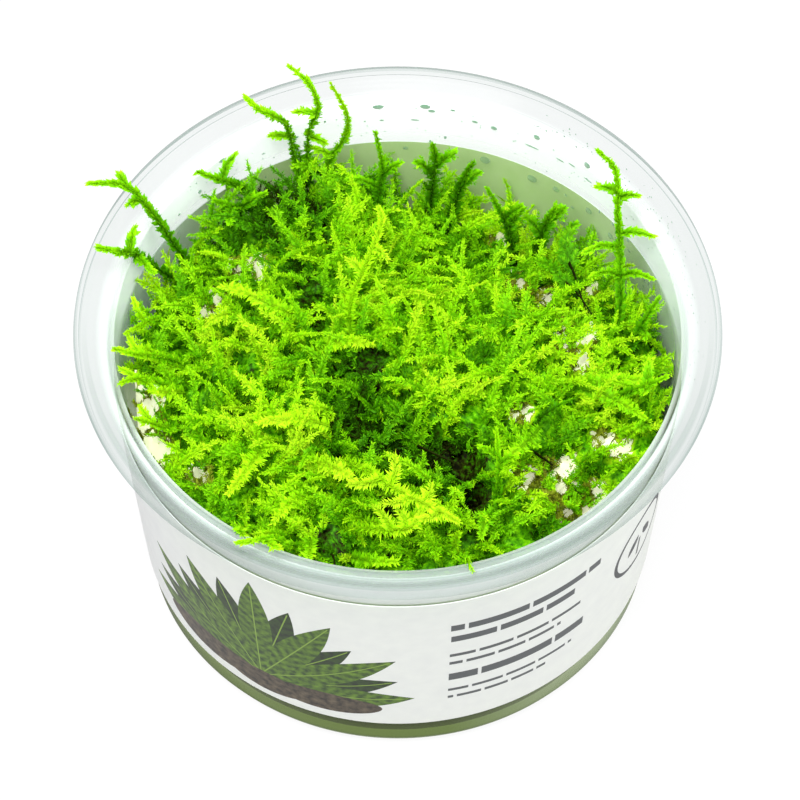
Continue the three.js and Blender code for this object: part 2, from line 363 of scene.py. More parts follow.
def moulded_polypropylene(haze):
    """Clear moulded polypropylene: thin, glossy, and milky where the eye looks along the wall."""
    material, tree, out = blank_material("moulded_polypropylene")
    place = add(tree, "TexCoord", output="Object")
    # Flow marks ripple the gloss.
    flow = add(tree, "TexNoise", {"Vector": place, "Scale": 1 / (FLOW_MARKS * MM), "Detail": 3.0})
    dents = add(tree, "Bump", {"Height": flow, "Strength": 0.12, "Distance": 0.4 * MM})
    x = add(tree, "SeparateXYZ", {0: place}, output="X")
    y = add(tree, "SeparateXYZ", {0: place}, output="Y")
    height = add(tree, "SeparateXYZ", {0: place}, output="Z")
    # Plastic takes more light the more it lies along the line of sight, the thick flange most. The flange's
    # dark teal tint is painted reflection of the moss.
    slant = add(tree, "LayerWeight", output="Facing")
    wall = add(
        tree,
        "ValToRGB",
        {"Fac": slant},
        [(0.0, "FCFDFC"), (0.35, "F6F9F7"), (0.53, "ECF1EE"), (0.66, "D4DEDA"), (1.0, "D8DFDC")],
    )
    flange = add(
        tree,
        "ValToRGB",
        {"Fac": slant},
        [(0.0, "EFF0F0"), (0.35, "ECEFEE"), (0.55, "D2DAD7"), (0.68, "8A9F98"), (1.0, "A6B3AF")],
    )
    # One at the front and zero at the back, where the flange's painted reflection is painted a little paler
    front = add(tree, "MapRange", {"Value": y, 1: -22 * MM, 2: -8 * MM, 3: 1.0, 4: 0.0})
    away = add(tree, "MapRange", {"Value": front, 3: 0.15, 4: 0.0})
    flange_painted_reflection = add(tree, "Mix", {0: away, 6: flange, 7: linear("FFFFFF")}, data_type="RGBA")
    # The wall turns out into the flange at this height.
    lip = add(tree, "MapRange", {"Value": height, 1: 56.5 * MM, 2: 57.2 * MM})
    depth = add(tree, "Mix", {0: lip, 6: wall, 7: flange_painted_reflection}, data_type="RGBA")
    # The gel fills the foot right up to the plastic, so the wall there takes on its olive.
    low = add(tree, "MapRange", {"Value": height, 1: 7.4 * MM, 2: 8.6 * MM, 3: 1.0, 4: 0.0})
    flat = add(tree, "VectorMath", {0: place, 1: (1, 1, 0)}, operation="MULTIPLY")
    radius = add(tree, "VectorMath", {0: flat}, output="Value", operation="LENGTH")
    wide = add(tree, "MapRange", {"Value": radius, 1: 37.2 * MM, 2: 38.2 * MM})
    foot = add(tree, "Math", {0: low, 1: wide}, operation="MULTIPLY")
    level = add(tree, "MapRange", {"Value": height, 1: 0.0, 2: GEL_TOP * MM})
    olive = add(
        tree,
        "ValToRGB",
        {"Fac": level},
        [
            (0.0, "E4E9D2"),
            (0.1, "BCC990"),
            (0.28, "899A4C"),
            (0.6, "82944A"),
            (0.85, "A5B07E"),
            (1.0, "CCD3BC"),
        ],
    )
    # Painted light: towards the right, where more light comes through the gel, the olive of the wall's tint
    # and skin is painted paler.
    thin = add(tree, "MapRange", {"Value": x, 1: 8 * MM, 2: 34 * MM, 3: 0.0, 4: 0.55})
    pale = add(tree, "Mix", {0: thin, 6: olive, 7: linear("EEF1E4")}, data_type="RGBA")
    tinted = add(tree, "Mix", {0: 1.0, 6: depth, 7: pale}, data_type="RGBA", blend_type="MULTIPLY")
    through = add(tree, "Mix", {0: foot, 6: depth, 7: tinted}, data_type="RGBA")
    foot_skin_painted_backlight = add(tree, "Mix", {0: thin, 6: linear("869848"), 7: linear("D6DCC2")}, data_type="RGBA")
    surface = add(tree, "Mix", {0: foot, 6: (*haze, 1.0), 7: foot_skin_painted_backlight}, data_type="RGBA")
    skin = add(
        tree,
        "BsdfPrincipled",
        {"Base Color": surface, "Roughness": 0.14, "IOR": 1.49, "Normal": dents},
    )
    clear = add(tree, "BsdfTransparent", {"Color": through})
    gloss = add(tree, "MapRange", {"Value": slant, 1: 0.46, 2: 0.85, 3: 0.03, 4: 0.3})
    # Fine condensation fogs the wall above the label's top edge, up to the mouth. At the front it is
    # painted thicker and starts lower, as painted light over the shade under the flange.
    start = add(tree, "MapRange", {"Value": front, 3: 49.5 * MM, 4: 45 * MM})
    thick = add(tree, "MapRange", {"Value": front, 3: 0.3, 4: 0.62})
    above = add(tree, "Math", {0: height, 1: start}, operation="SUBTRACT")
    over = add(tree, "MapRange", {"Value": above, 1: 0.0, 2: 2 * MM, 3: 0.0, 4: thick})
    mouth = MOUTH_HEIGHT * MM
    under = add(tree, "MapRange", {"Value": height, 1: mouth - MM, 2: mouth, 3: 1.0, 4: 0.0})
    fog_and_painted_light = add(tree, "Math", {0: over, 1: under}, operation="MULTIPLY")
    body = add(tree, "Math", {0: gloss, 1: fog_and_painted_light}, operation="ADD")
    mix = add(tree, "MixShader", {0: body, 1: clear, 2: skin})
    tree.links.new(mix, out.inputs["Surface"])
    return material


def agar_gel():
    """Set agar: wet, clear and faintly green, cloudy enough to glow a little."""
    material, tree, out = blank_material("agar_gel")
    place = add(tree, "TexCoord", output="Object")
    scale = 1 / (AGAR_CLOUDS * MM)
    cloud = add(tree, "TexNoise", {"Vector": place, "Scale": scale, "Detail": 4.0})
    pale = add(tree, "ValToRGB", {"Fac": cloud}, [(0.35, "F6F8E6"), (0.65, "FEFEF8")])
    deep = add(tree, "ValToRGB", {"Fac": cloud}, [(0.3, "4A5C20"), (0.7, "6E823A")])
    normal = add(tree, "NewGeometry", output="Normal")
    upward = add(tree, "SeparateXYZ", {0: normal}, output="Z")
    level = add(tree, "Math", {0: upward}, operation="ABSOLUTE")
    tint = add(tree, "Mix", {0: level, 6: deep, 7: pale}, data_type="RGBA")
    body = add(tree, "BsdfPrincipled", {"Base Color": tint, "Roughness": 0.08, "IOR": 1.34})
    glow = add(tree, "BsdfTranslucent", {"Color": tint})
    clear = add(tree, "BsdfTransparent", {"Color": tint})
    milk = add(tree, "MixShader", {0: 0.5, 1: body, 2: glow})
    thick = add(tree, "MapRange", {"Value": level, 3: 0.9, 4: 0.07})
    mix = add(tree, "MixShader", {0: thick, 1: clear, 2: milk})
    tree.links.new(mix, out.inputs["Surface"])
    return material


def moss_leaf():
    """Moss leaf, one cell thick: light shines through it, so young tips glow yellow-green."""
    material, tree, out = blank_material("christmas_moss")
    uv = add(tree, "UVMap", uv_map="palette")
    age = add(tree, "SeparateXYZ", {0: uv}, output="X")
    along = add(tree, "SeparateXYZ", {0: uv}, output="Y")
    # Fine patches mottle the leaves, and the old growth far more.
    place = add(tree, "TexCoord", output="Object")
    scale = 1 / (LEAF_PATCHES * MM)
    patches = add(tree, "TexNoise", {"Vector": place, "Scale": scale, "Detail": 3.0})
    mottle = add(tree, "MapRange", {"Value": along, 1: 1.0, 2: 2.0, 3: 0.12, 4: 0.8})
    centred = add(tree, "Math", {0: patches, 1: 0.5}, operation="SUBTRACT")
    shade = add(tree, "Math", {0: centred, 1: mottle, 2: age}, operation="MULTIPLY_ADD")
    # The palette runs from old stems to young tips, then yellow leaves painted as backlit, then pale agar
    # painted as lit from below.
    leaf = add(
        tree,
        "ValToRGB",
        {"Fac": shade},
        [
            (0.0, "101403"),
            (0.08, "2E3208"),
            (0.2, "357002"),
            (0.36, "5EB404"),
            (0.54, "98E60C"),
            (0.7, "BCFA12"),
            (0.88, "D2FF24"),
            (0.93, "8F9A24"),
            (0.985, "A2B438"),
            (1.0, "EEF2D2"),
        ],
    )
    blade = add(
        tree,
        "ValToRGB",
        {"Fac": along},
        [(0.0, "9A9A7A"), (0.5, "E6E6E6"), (1.0, "FFFFFF")],
    )
    colour = add(tree, "Mix", {0: 1.0, 6: leaf, 7: blade}, data_type="RGBA", blend_type="MULTIPLY")
    skin = add(
        tree,
        "BsdfPrincipled",
        {"Base Color": colour, "Roughness": 0.55, "IOR": 1.4, "Specular IOR Level": 0.1},
    )
    through = add(tree, "BsdfTranslucent", {"Color": colour})
    leafy = add(tree, "MixShader", {0: 0.52, 1: skin, 2: through})
    # Painted glow: pale agar places on the palette glow with painted light, which stands for light coming
    # up through the gel.
    pale = add(tree, "MapRange", {"Value": shade, 1: 0.95, 2: 1.0, 3: 0.0, 4: 0.4})
    light = add(tree, "Emission", {"Color": linear("F4F6CC"), "Strength": pale})
    both = add(tree, "AddShader", {0: leafy, 1: light})
    tree.links.new(both, out.inputs["Surface"])
    material.cycles.emission_sampling = "NONE"
    return material


def within(tree, *tests):
    """One where each value lies within a half-width of a middle, and zero elsewhere."""
    mask = 1.0
    for value, middle, half in tests:
        test = add(tree, "Math", {0: value, 1: middle, 2: half}, operation="COMPARE")
        mask = add(tree, "Math", {0: mask, 1: test}, operation="MULTIPLY")
    return mask


def printed_leaf(tree, spot, colour, turn, length, half, inks):
    """Prints one pointed leaf of the fan, with a midrib and side veins, over a colour."""
    centre = (*FAN_ROOT, 0)
    moved = add(
        tree,
        "VectorRotate",
        {"Vector": spot, "Center": centre, "Angle": -turn},
        rotation_type="Z_AXIS",
    )
    ahead = add(tree, "SeparateXYZ", {0: moved}, output="X")
    aside = add(tree, "SeparateXYZ", {0: moved}, output="Y")
    run = add(tree, "Math", {0: ahead, 1: FAN_ROOT[0]}, operation="SUBTRACT")
    off = add(tree, "Math", {0: aside, 1: FAN_ROOT[1]}, operation="SUBTRACT")
    away = add(tree, "Math", {0: off}, operation="ABSOLUTE")
    share = add(tree, "MapRange", {"Value": run, 1: 0.0, 2: length})
    rest = add(tree, "Math", {0: 1.0, 1: share}, operation="SUBTRACT")
    bulge = add(tree, "Math", {0: share, 1: rest}, operation="MULTIPLY")
    width = add(tree, "Math", {0: bulge, 1: 4 * half}, operation="MULTIPLY")
    inside = add(tree, "Math", {0: away, 1: width}, operation="LESS_THAN")
    slant = add(tree, "Math", {0: away, 1: -0.9, 2: run}, operation="MULTIPLY_ADD")
    beat = add(tree, "Math", {0: slant, 1: 1.2}, operation="PINGPONG")
    # Patches mottle the ink.
    mottle = add(tree, "TexNoise", {"Vector": spot, "Scale": 1 / INK_PATCHES, "Detail": 4.0})
    mixed = add(tree, "Math", {0: beat, 1: 0.22, 2: mottle}, operation="MULTIPLY_ADD")
    ink = add(tree, "ValToRGB", {"Fac": mixed}, [(0.42, inks[0]), (0.95, inks[1])])
    colour = add(tree, "Mix", {0: inside, 6: colour, 7: ink}, data_type="RGBA")
    rib = within(tree, (off, 0.0, 0.11), (share, 0.5, 0.46))
    return add(tree, "Mix", {0: rib, 6: colour, 7: linear("86A63E")}, data_type="RGBA")


def label_film(width, height, front):
    """White polypropylene film with a plain print: rules, a sprout in a ring, leaves on stones.

    front is the share of the width that lies at the front's middle.
    """
    material, tree, out = blank_material("printed_label_film")
    uv = add(tree, "UVMap", uv_map="UVMap")
    # Millimetres from the front's middle and from the lower edge
    spot = add(
        tree,
        "VectorMath",
        {0: uv, 1: (width, height, 1), 2: (-width * front, 0, 0)},
        operation="MULTIPLY_ADD",
    )
    x = add(tree, "SeparateXYZ", {0: spot}, output="X")
    y = add(tree, "SeparateXYZ", {0: spot}, output="Y")
    # The white ink varies a little.
    cloud = add(tree, "TexNoise", {"Vector": spot, "Scale": 1 / INK_CLOUDS, "Detail": 3.0})
    colour = add(tree, "ValToRGB", {"Fac": cloud}, [(0.3, "E9EAEB"), (0.7, "EEEFEF")])

    # A fan of leaves, the darker ones behind
    for number in [*range(1, 12, 2), *range(0, 13, 2)]:
        turn = math.radians(5 + 14.2 * number)
        behind = number % 2
        length = 25 + 3.5 * math.sin(turn) + 1.2 * math.sin(5 * turn) - 3 * behind
        inks = ("122208", "33500F") if behind else ("24400A", "6E9420")
        colour = printed_leaf(tree, spot, colour, turn, length, 3.0, inks)

    # Smooth stones in front of the leaves
    for stone_x, stone_y, long, tall in STONES:
        size = (1 / long, 1 / tall, 0)
        shift = (-stone_x / long, -stone_y / tall, 0)
        oval = add(tree, "VectorMath", {0: spot, 1: size, 2: shift}, operation="MULTIPLY_ADD")
        reach = add(tree, "VectorMath", {0: oval}, output="Value", operation="LENGTH")
        grain = add(tree, "TexNoise", {"Vector": spot, "Scale": 1 / STONE_GRAIN, "Detail": 6.0})
        ink = add(tree, "ValToRGB", {"Fac": grain}, [(0.35, "2B241C"), (0.7, "6B5E4A")])
        mask = within(tree, (reach, 0.0, 1.0))
        colour = add(tree, "Mix", {0: mask, 6: colour, 7: ink}, data_type="RGBA")

    # Rules of several weights, each broken into dashes
    for start, end, level, weight, word in RULES:
        beat = add(tree, "Math", {0: x, 1: word}, operation="PINGPONG")
        mask = within(
            tree,
            (x, (start + end) / 2, (end - start) / 2),
            (y, level, weight / 2),
            (beat, word / 2 + 0.3, word / 2),
        )
        colour = add(tree, "Mix", {0: mask, 6: colour, 7: linear("54585A")}, data_type="RGBA")

    # A ring round a sprout with two leaves
    ring_x, ring_y, ring_radius = RING
    centre = (ring_x, ring_y, 0)
    distance = add(
        tree, "VectorMath", {0: spot, 1: centre}, output="Value", operation="DISTANCE"
    )
    marks = [within(tree, (distance, ring_radius, 0.45))]
    marks.append(within(tree, (x, ring_x, 0.3), (y, ring_y - 2.6, 2.6)))
    for side in (-1, 1):
        tests = []
        for end in (-1, 1):
            middle = (ring_x + side * 2.1 + end * 1.6, ring_y + end * side * 1.2, 0)
            edge = add(
                tree, "VectorMath", {0: spot, 1: middle}, output="Value", operation="DISTANCE"
            )
            tests.append((edge, 0.0, 3.0))
        marks.append(within(tree, *tests))
    for mask in marks:
        colour = add(tree, "Mix", {0: mask, 6: colour, 7: linear("3A3E40")}, data_type="RGBA")

    # The film's grain roughens the gloss.
    grain = add(tree, "TexNoise", {"Vector": spot, "Scale": 1 / FILM_GRAIN, "Detail": 2.0})
    dents = add(tree, "Bump", {"Height": grain, "Strength": 0.1, "Distance": 0.05 * MM})
    film = add(
        tree,
        "BsdfPrincipled",
        {"Base Color": colour, "Roughness": 0.38, "IOR": 1.47, "Normal": dents},
    )
    glow = add(tree, "BsdfTranslucent", {"Color": colour})
    mix = add(tree, "MixShader", {0: 0.33, 1: film, 2: glow})
    tree.links.new(mix, out.inputs["Surface"])
    return material


# The print, in mm from the middle of the label's front and from its lower edge: the fan's root,
# the stones' places and half sizes, the rules' ends, level, weight and word length, and the ring.
FAN_ROOT = (-23.0, 6.5)
STONES = [
    (-33.0, 5.4, 11.0, 3.0),
    (-12.5, 5.0, 10.0, 2.9),
    (-22.5, 4.6, 8.0, 3.0),
]
RULES = [
    (8.0, 34.0, 31.0, 1.8, 5.2),
    (8.0, 29.0, 27.4, 1.8, 3.9),
    (8.0, 31.0, 22.0, 0.9, 3.1),
    (8.0, 27.0, 19.4, 0.9, 2.6),
    (8.0, 32.0, 14.8, 2.2, 6.5),
    (8.0, 30.0, 10.4, 0.8, 2.9),
    (8.0, 25.0, 8.0, 0.8, 2.3),
    (-150.0, -120.0, 20.0, 1.8, 5.2),
    (-150.0, -118.0, 15.0, 0.9, 3.1),
    (-150.0, -124.0, 12.2, 0.9, 2.6),
    (-150.0, -121.0, 9.4, 0.9, 2.9),
]
RING = (46.0, 22.0, 7.0)


def label_back():
    """The film's glued side, seen through the wall: damp, painted sage for green light from the moss and
    shade, and painted white at the left, as lit.
    """
    material, tree, out = blank_material("label_film_back")
    place = add(tree, "TexCoord", output="Object")
    scale = 1 / (DAMP_PATCHES * MM)
    damp = add(tree, "TexNoise", {"Vector": place, "Scale": scale, "Detail": 3.0})
    damp_and_painted_moss_light = add(tree, "ValToRGB", {"Fac": damp}, [(0.35, "BDD388"), (0.65, "CCDE9C")])
    x = add(tree, "SeparateXYZ", {0: place}, output="X")
    # Painted light: white at the far left, where light falls, and sage with moss light and shade elsewhere
    green = add(tree, "MapRange", {"Value": x, 1: -38 * MM, 2: -28 * MM})
    tint = add(tree, "Mix", {0: green, 6: linear("F4F8F0"), 7: damp_and_painted_moss_light}, data_type="RGBA")
    film = add(tree, "BsdfPrincipled", {"Base Color": tint, "Roughness": 0.5})
    glow = add(tree, "BsdfTranslucent", {"Color": tint})
    mix = add(tree, "MixShader", {0: 0.36, 1: film, 2: glow})
    tree.links.new(mix, out.inputs["Surface"])
    return material


def water():
    """Condensation: clear drops, tinted with a painted reflection of the dark moss that they show upside
    down.
    """
    material, tree, out = blank_material("condensation_water")
    facing = add(tree, "LayerWeight", output="Facing")
    tint = add(
        tree, "ValToRGB", {"Fac": facing}, [(0.0, "4E7458"), (0.45, "93AD9C"), (0.9, "DDE6E2")]
    )
    drop = add(tree, "BsdfPrincipled", {"Base Color": tint, "Roughness": 0.05, "IOR": 1.33})
    clear = add(tree, "BsdfTransparent", {"Color": linear("F2F7F4")})
    # Painted reflection: drops on the clear wall are painted dark, and those in front of the label hardly
    # show.
    place = add(tree, "TexCoord", output="Object")
    height = add(tree, "SeparateXYZ", {0: place}, output="Z")
    share = add(tree, "MapRange", {"Value": height, 1: 48.5 * MM, 2: 49.5 * MM, 3: 0.15, 4: 0.9})
    mix = add(tree, "MixShader", {0: share, 1: clear, 2: drop})
    tree.links.new(mix, out.inputs["Surface"])
    return material


def paper_floor():
    """A white sweep of paper, lit evenly enough to have no edge."""
    material, tree, out = blank_material("white_paper_sweep")
    place = add(tree, "TexCoord", output="Object")
    scale = 1 / (PAPER_CLOUDS * MM)
    cloud = add(tree, "TexNoise", {"Vector": place, "Scale": scale, "Detail": 2.0})
    tint = add(tree, "ValToRGB", {"Fac": cloud}, [(0.3, "FDFDFD"), (0.7, "FFFFFF")])
    paper = add(tree, "BsdfDiffuse", {"Color": linear("404040")})
    glow = add(tree, "Emission", {"Color": tint, "Strength": 0.93})
    both = add(tree, "AddShader", {0: paper, 1: glow})
    tree.links.new(both, out.inputs["Surface"])
    return material


# Growing moss


def unit(vectors):
    """The vectors at length one."""
    return vectors / np.maximum(np.linalg.norm(vectors, axis=-1, keepdims=True), 1e-9)


def facing_eye(paths):
    """The direction across each path that lays its side branches flat to the eye."""
    return unit(np.cross(paths[:, -1] - paths[:, 0], TOWARD_EYE))


def on_palette(shade):
    """Shades from 0 to 1 as places on the leaves' part of the palette."""
    return LEAF_END * np.clip(shade, 0.01, 0.99)


def follow(paths, rows, shares):
    """Places and directions at shares of the chosen paths."""
    spans = paths.shape[1] - 1
    spot = np.clip(shares, 0, 1) * spans
    step = np.minimum(spot.astype(int), spans - 1)
    start, end = paths[rows, step], paths[rows, step + 1]
    return start + (end - start) * (spot - step)[:, None], unit(end - start)


def path_lengths(paths):
    """The length of each path."""
    return np.linalg.norm(np.diff(paths, axis=1), axis=2).sum(1)


def counted(counts):
    """For items in groups of given sizes: each item's group, and its number in the group."""
    groups = np.repeat(np.arange(len(counts)), counts)
    return groups, np.arange(len(groups)) - np.repeat(np.cumsum(counts) - counts, counts)


def grow_leaves(
    paths, sides, sizes, shades, per_mm, rng, rows=3, spread=56, wide=0.18, start=0.0
):
    """Leaves along paths: two rows at the sides, and more above and below.

    sides are the directions across each path, sizes the leaf lengths in mm, and shades each
    path's palette places at its root and at its tip. spread is the leaves' angle to the path in
    degrees, wide a leaf's half width as a share of its length, and start the share of a path
    below its first leaf. Returns points, faces and palette places.
    """
    counts = np.maximum(3, np.round(path_lengths(paths) * per_mm * (1 - start))).astype(int)
    path, order = counted(counts)
    total = len(path)
    share = start + (1 - start) * (order + 0.5) / counts[path]
    place, tangent = follow(paths, path, share)
    face = unit(np.cross(tangent, sides[path]))
    across = np.cross(face, tangent)
    # Each leaf points out and forward, the more forward the nearer it is to the tip.
    turn = np.array([0, np.pi, 0.5 * np.pi, 1.5 * np.pi])[order % rows]
    turn = turn + rng.normal(0, 0.25, total)
    outward = across * np.cos(turn)[:, None] + face * np.sin(turn)[:, None]
    angle = np.radians(spread * (1 - 0.45 * share**2) + rng.normal(0, 8, total))
    heading = tangent * np.cos(angle)[:, None] + outward * np.sin(angle)[:, None]
    flat = np.cross(tangent, outward)
    flat = flat * np.where((flat * face).sum(1) < 0, -1, 1)[:, None]
    twist = rng.normal(0, 0.3, total)[:, None]
    breadth = unit(np.cross(flat, heading)) * np.cos(twist) + flat * np.sin(twist)
    lift = np.cross(heading, breadth)
    # Leaves get smaller towards the tip, and one in seven is a third longer.
    size = sizes[path] * (1 - 0.4 * share**2) * rng.uniform(0.75, 1.2, total)
    size = np.where(rng.random(total) < 0.15, 1.35, 1.0) * size
    size = size[:, None]
    middle = place + heading * size * 0.4
    points = np.stack(
        [
            place,
            middle + breadth * size * wide + lift * size * 0.07,
            place + heading * size - lift * size * rng.uniform(-0.05, 0.2, (total, 1)),
            middle - breadth * size * wide + lift * size * 0.07,
        ],
        axis=1,
    )
    faces = np.arange(total)[:, None, None] * 4 + np.array([[0, 3, 2], [0, 2, 1]])
    shade = shades[path, 0] * (1 - share) + shades[path, 1] * share + rng.normal(0, 0.045, total)
    shade = np.repeat(shade, 4)
    blade = np.tile([0.0, 0.5, 1.0, 0.5], total)
    return points.reshape(-1, 3), faces.reshape(-1, 3), np.stack([shade, blade], axis=1)


def grow_stems(paths, sides, widths, shades, corners):
    """Stems along paths: flat ribbons with two corners, or prisms with three."""
    count, rings = paths.shape[:2]
    tangent = unit(np.gradient(paths, axis=1))
    face = unit(np.cross(tangent, sides[:, None, :]))
    across = np.cross(face, tangent)
    taper = np.linspace(1, 0.4, rings)[None, :, None] * widths[:, None, None] / 2
    points = []
    for corner in range(corners):
        angle = 2 * np.pi * corner / corners
        points.append(paths + (across * np.cos(angle) + face * np.sin(angle)) * taper)
    points = np.stack(points, axis=2).reshape(-1, 3)
    first = np.arange(count)[:, None, None] * rings * corners
    ring = np.arange(rings - 1)[None, :, None] * corners
    corner = np.arange(1 if corners == 2 else corners)[None, None, :]
    a = (first + ring + corner).ravel()
    b = (first + ring + (corner + 1) % corners).ravel()
    faces = np.concatenate([np.stack([a, b, b + corners], 1), np.stack([a, b + corners, a + corners], 1)])
    along = np.linspace(0, 1, rings)[None, :, None]
    shade = shades[:, :1, None] * (1 - along) + shades[:, 1:, None] * along
    shade = np.broadcast_to(shade, (count, rings, corners)).ravel()
    return points, faces, np.stack([shade, np.full(len(points), 0.3)], axis=1)


def grow_branches(paths, sides, longest, shades, pitch, rng):
    """Side branches in two rows along paths: their paths, directions across and shades.

    longest gives each path's longest side branch in mm, and pitch the gap between two in a row.
    """
    lengths = path_lengths(paths)
    counts = np.maximum(2, np.round(lengths * 0.8 / pitch * 2)).astype(int)
    path, order = counted(counts)
    total = len(path)
    share = 0.16 + 0.8 * (order + rng.uniform(0, 0.9, total)) / counts[path]
    place, tangent = follow(paths, path, share)
    face = unit(np.cross(tangent, sides[path]))
    across = np.cross(face, tangent)
    # They stand left and right by turns, and bend forward and down.
    hand = np.where(order % 2, 1, -1)[:, None]
    profile = np.minimum((share - 0.05) / 0.25, (1.04 - share) / 0.7)
    reach = longest[path] * np.clip(profile, 0.12, 1) * rng.uniform(0.7, 1.15, total)
    angle = np.radians(rng.normal(52, 8, total))[:, None]
    heading = tangent * np.cos(angle) + hand * across * np.sin(angle)
    heading = unit(heading + face * rng.normal(0, 0.16, total)[:, None])
    steps = np.linspace(0, 1, 4)[None, :, None]
    bend = unit(tangent * 0.35 - face * 0.25)[:, None, :]
    branches = place[:, None, :] + reach[:, None, None] * (
        steps * heading[:, None, :] + 0.28 * steps**2 * bend
    )
    root = shades[path, 0] * (1 - share) + shades[path, 1] * share
    tone = np.stack([root - 0.03, root + 0.1 * reach / 3], axis=1) + rng.normal(0, 0.03, (total, 1))
    return branches, unit(np.cross(face, heading)), tone


def joined(*parts):
    """Several grown meshes as one: points, faces and palette places."""
    points, faces, uv, start = [], [], [], 0
    for some_points, some_faces, some_uv in parts:
        points.append(some_points)
        faces.append(some_faces + start)
        uv.append(some_uv)
        start += len(some_points)
    return np.concatenate(points), np.concatenate(faces), np.concatenate(uv)


def keep_faces(grown, wanted):
    """The grown mesh with only the wanted faces, and the points that they use."""
    points, faces, uv = grown
    faces = faces[wanted]
    used, places = np.unique(faces.ravel(), return_inverse=True)
    return points[used], places.reshape(-1, 3), uv[used]


def held_in_cup(grown):
    """Presses the moss against the inside of the wall and keeps it off the gel."""
    points, faces, uv = grown
    points = points.copy()
    height = points[:, 2]
    # Above the mouth the flange gives it room, and above the rim nothing holds it.
    limit = inner_wall(np.minimum(height, MOUTH_HEIGHT)) - MOSS_GAP
    limit = np.where(height > MOUTH_HEIGHT + 0.6, FLANGE_REACH, limit)
    limit = np.where(height > CUP_HEIGHT + 0.5, np.inf, limit)
    radius = np.maximum(np.hypot(points[:, 0], points[:, 1]), 1e-6)
    share = np.minimum(1, limit / radius)
    points[:, :2] = np.clip(points[:, :2] * share[:, None], -BOX_HALF, BOX_HALF)
    points[:, 2] = np.maximum(height, GEL_TOP - 0.4)
    return points, faces, uv


def curve_through(points, count):
    """A smooth path of count points through the given ones."""
    points = np.asarray(points, float)
    padded = np.vstack([2 * points[0] - points[1], points, 2 * points[-1] - points[-2]])
    spans = len(points) - 1
    spot = np.linspace(0, spans, count)
    step = np.minimum(spot.astype(int), spans - 1)
    t = (spot - step)[:, None]
    a, b, c, d = (padded[step + i] for i in range(4))
    return 0.5 * (2 * b + (c - a) * t + (2 * a - 5 * b + 4 * c - d) * t**2 + (3 * b - a - 3 * c + d) * t**3)


def patchy(x, y, seed):
    """Slow variation over the mound, from -1 to 1."""
    rng = np.random.default_rng(seed)
    value = 0
    for _ in range(6):
        angle, phase = rng.uniform(0, 2 * np.pi, 2)
        wave = 2 * np.pi / rng.uniform(9, 26)
        value = value + np.sin(wave * (x * np.cos(angle) + y * np.sin(angle)) + phase)
    return value / 3.2


# Bright clumps of young tips and dark ones of old: place, radius, and how much lighter they are
CLUMPS = [
    (12.4, 31.3, 6.0, 0.26),
    (23.5, -5.6, 5.0, 0.3),
    (-14.3, -16.7, 7.0, 0.4),
    (-25.0, 3.0, 9.0, 0.16),
    (-6.0, 14.0, 8.0, 0.2),
    (6.0, 6.0, 8.0, 0.14),
    (-29.0, -14.0, 8.0, 0.16),
    # These two, at the back left and back right, stand for darker green moss and painted shade.
    (-30.0, 21.0, 19.0, -0.17),
    (27.0, 20.0, 16.0, -0.2),
    (22.0, -32.0, 12.0, -0.14),
]
# Small dark holes between the shoots, with painted shade round them: place and radius
HOLES = [
    (-4.3, -4.0, 2.2),
    (-0.9, -30.6, 1.8),
    (-10.4, -36.1, 2.0),
    (10.4, -23.2, 2.4),
    (12.1, -29.0, 2.0),
    (-13.3, 10.9, 1.8),
]
# Gaps between the shoots, where the thatch behind is painted as pale agar glowing with light from below:
# place and radius
GAPS = [
    (-40.4, -9.0, 2.0),
    (-39.2, -5.4, 1.4),
    (-38.0, -11.8, 0.9),
    (-36.2, -18.2, 1.5),
    (-30.5, -23.0, 0.9),
    (-25.4, 16.5, 0.8),
    (-22.0, 16.0, 0.8),
    (-28.5, 10.2, 0.7),
    (-30.3, 7.5, 0.6),
    (19.6, 14.9, 0.9),
    (23.4, 11.8, 0.7),
    (30.5, 15.0, 0.7),
    (16.4, 27.4, 0.7),
    (26.4, 0.9, 0.5),
    (29.8, 3.2, 0.55),
    (28.4, -2.2, 0.5),
    (26.0, 5.0, 0.4),
    (19.3, -13.1, 0.6),
    (25.1, -19.4, 1.5),
    (31.8, -16.9, 0.65),
    (30.4, -22.6, 0.8),
    (24.5, -26.2, 1.2),
    (20.4, -24.7, 1.1),
    (26.4, -30.3, 0.9),
    (29.1, -28.3, 0.8),
    (34.4, -18.4, 0.4),
]
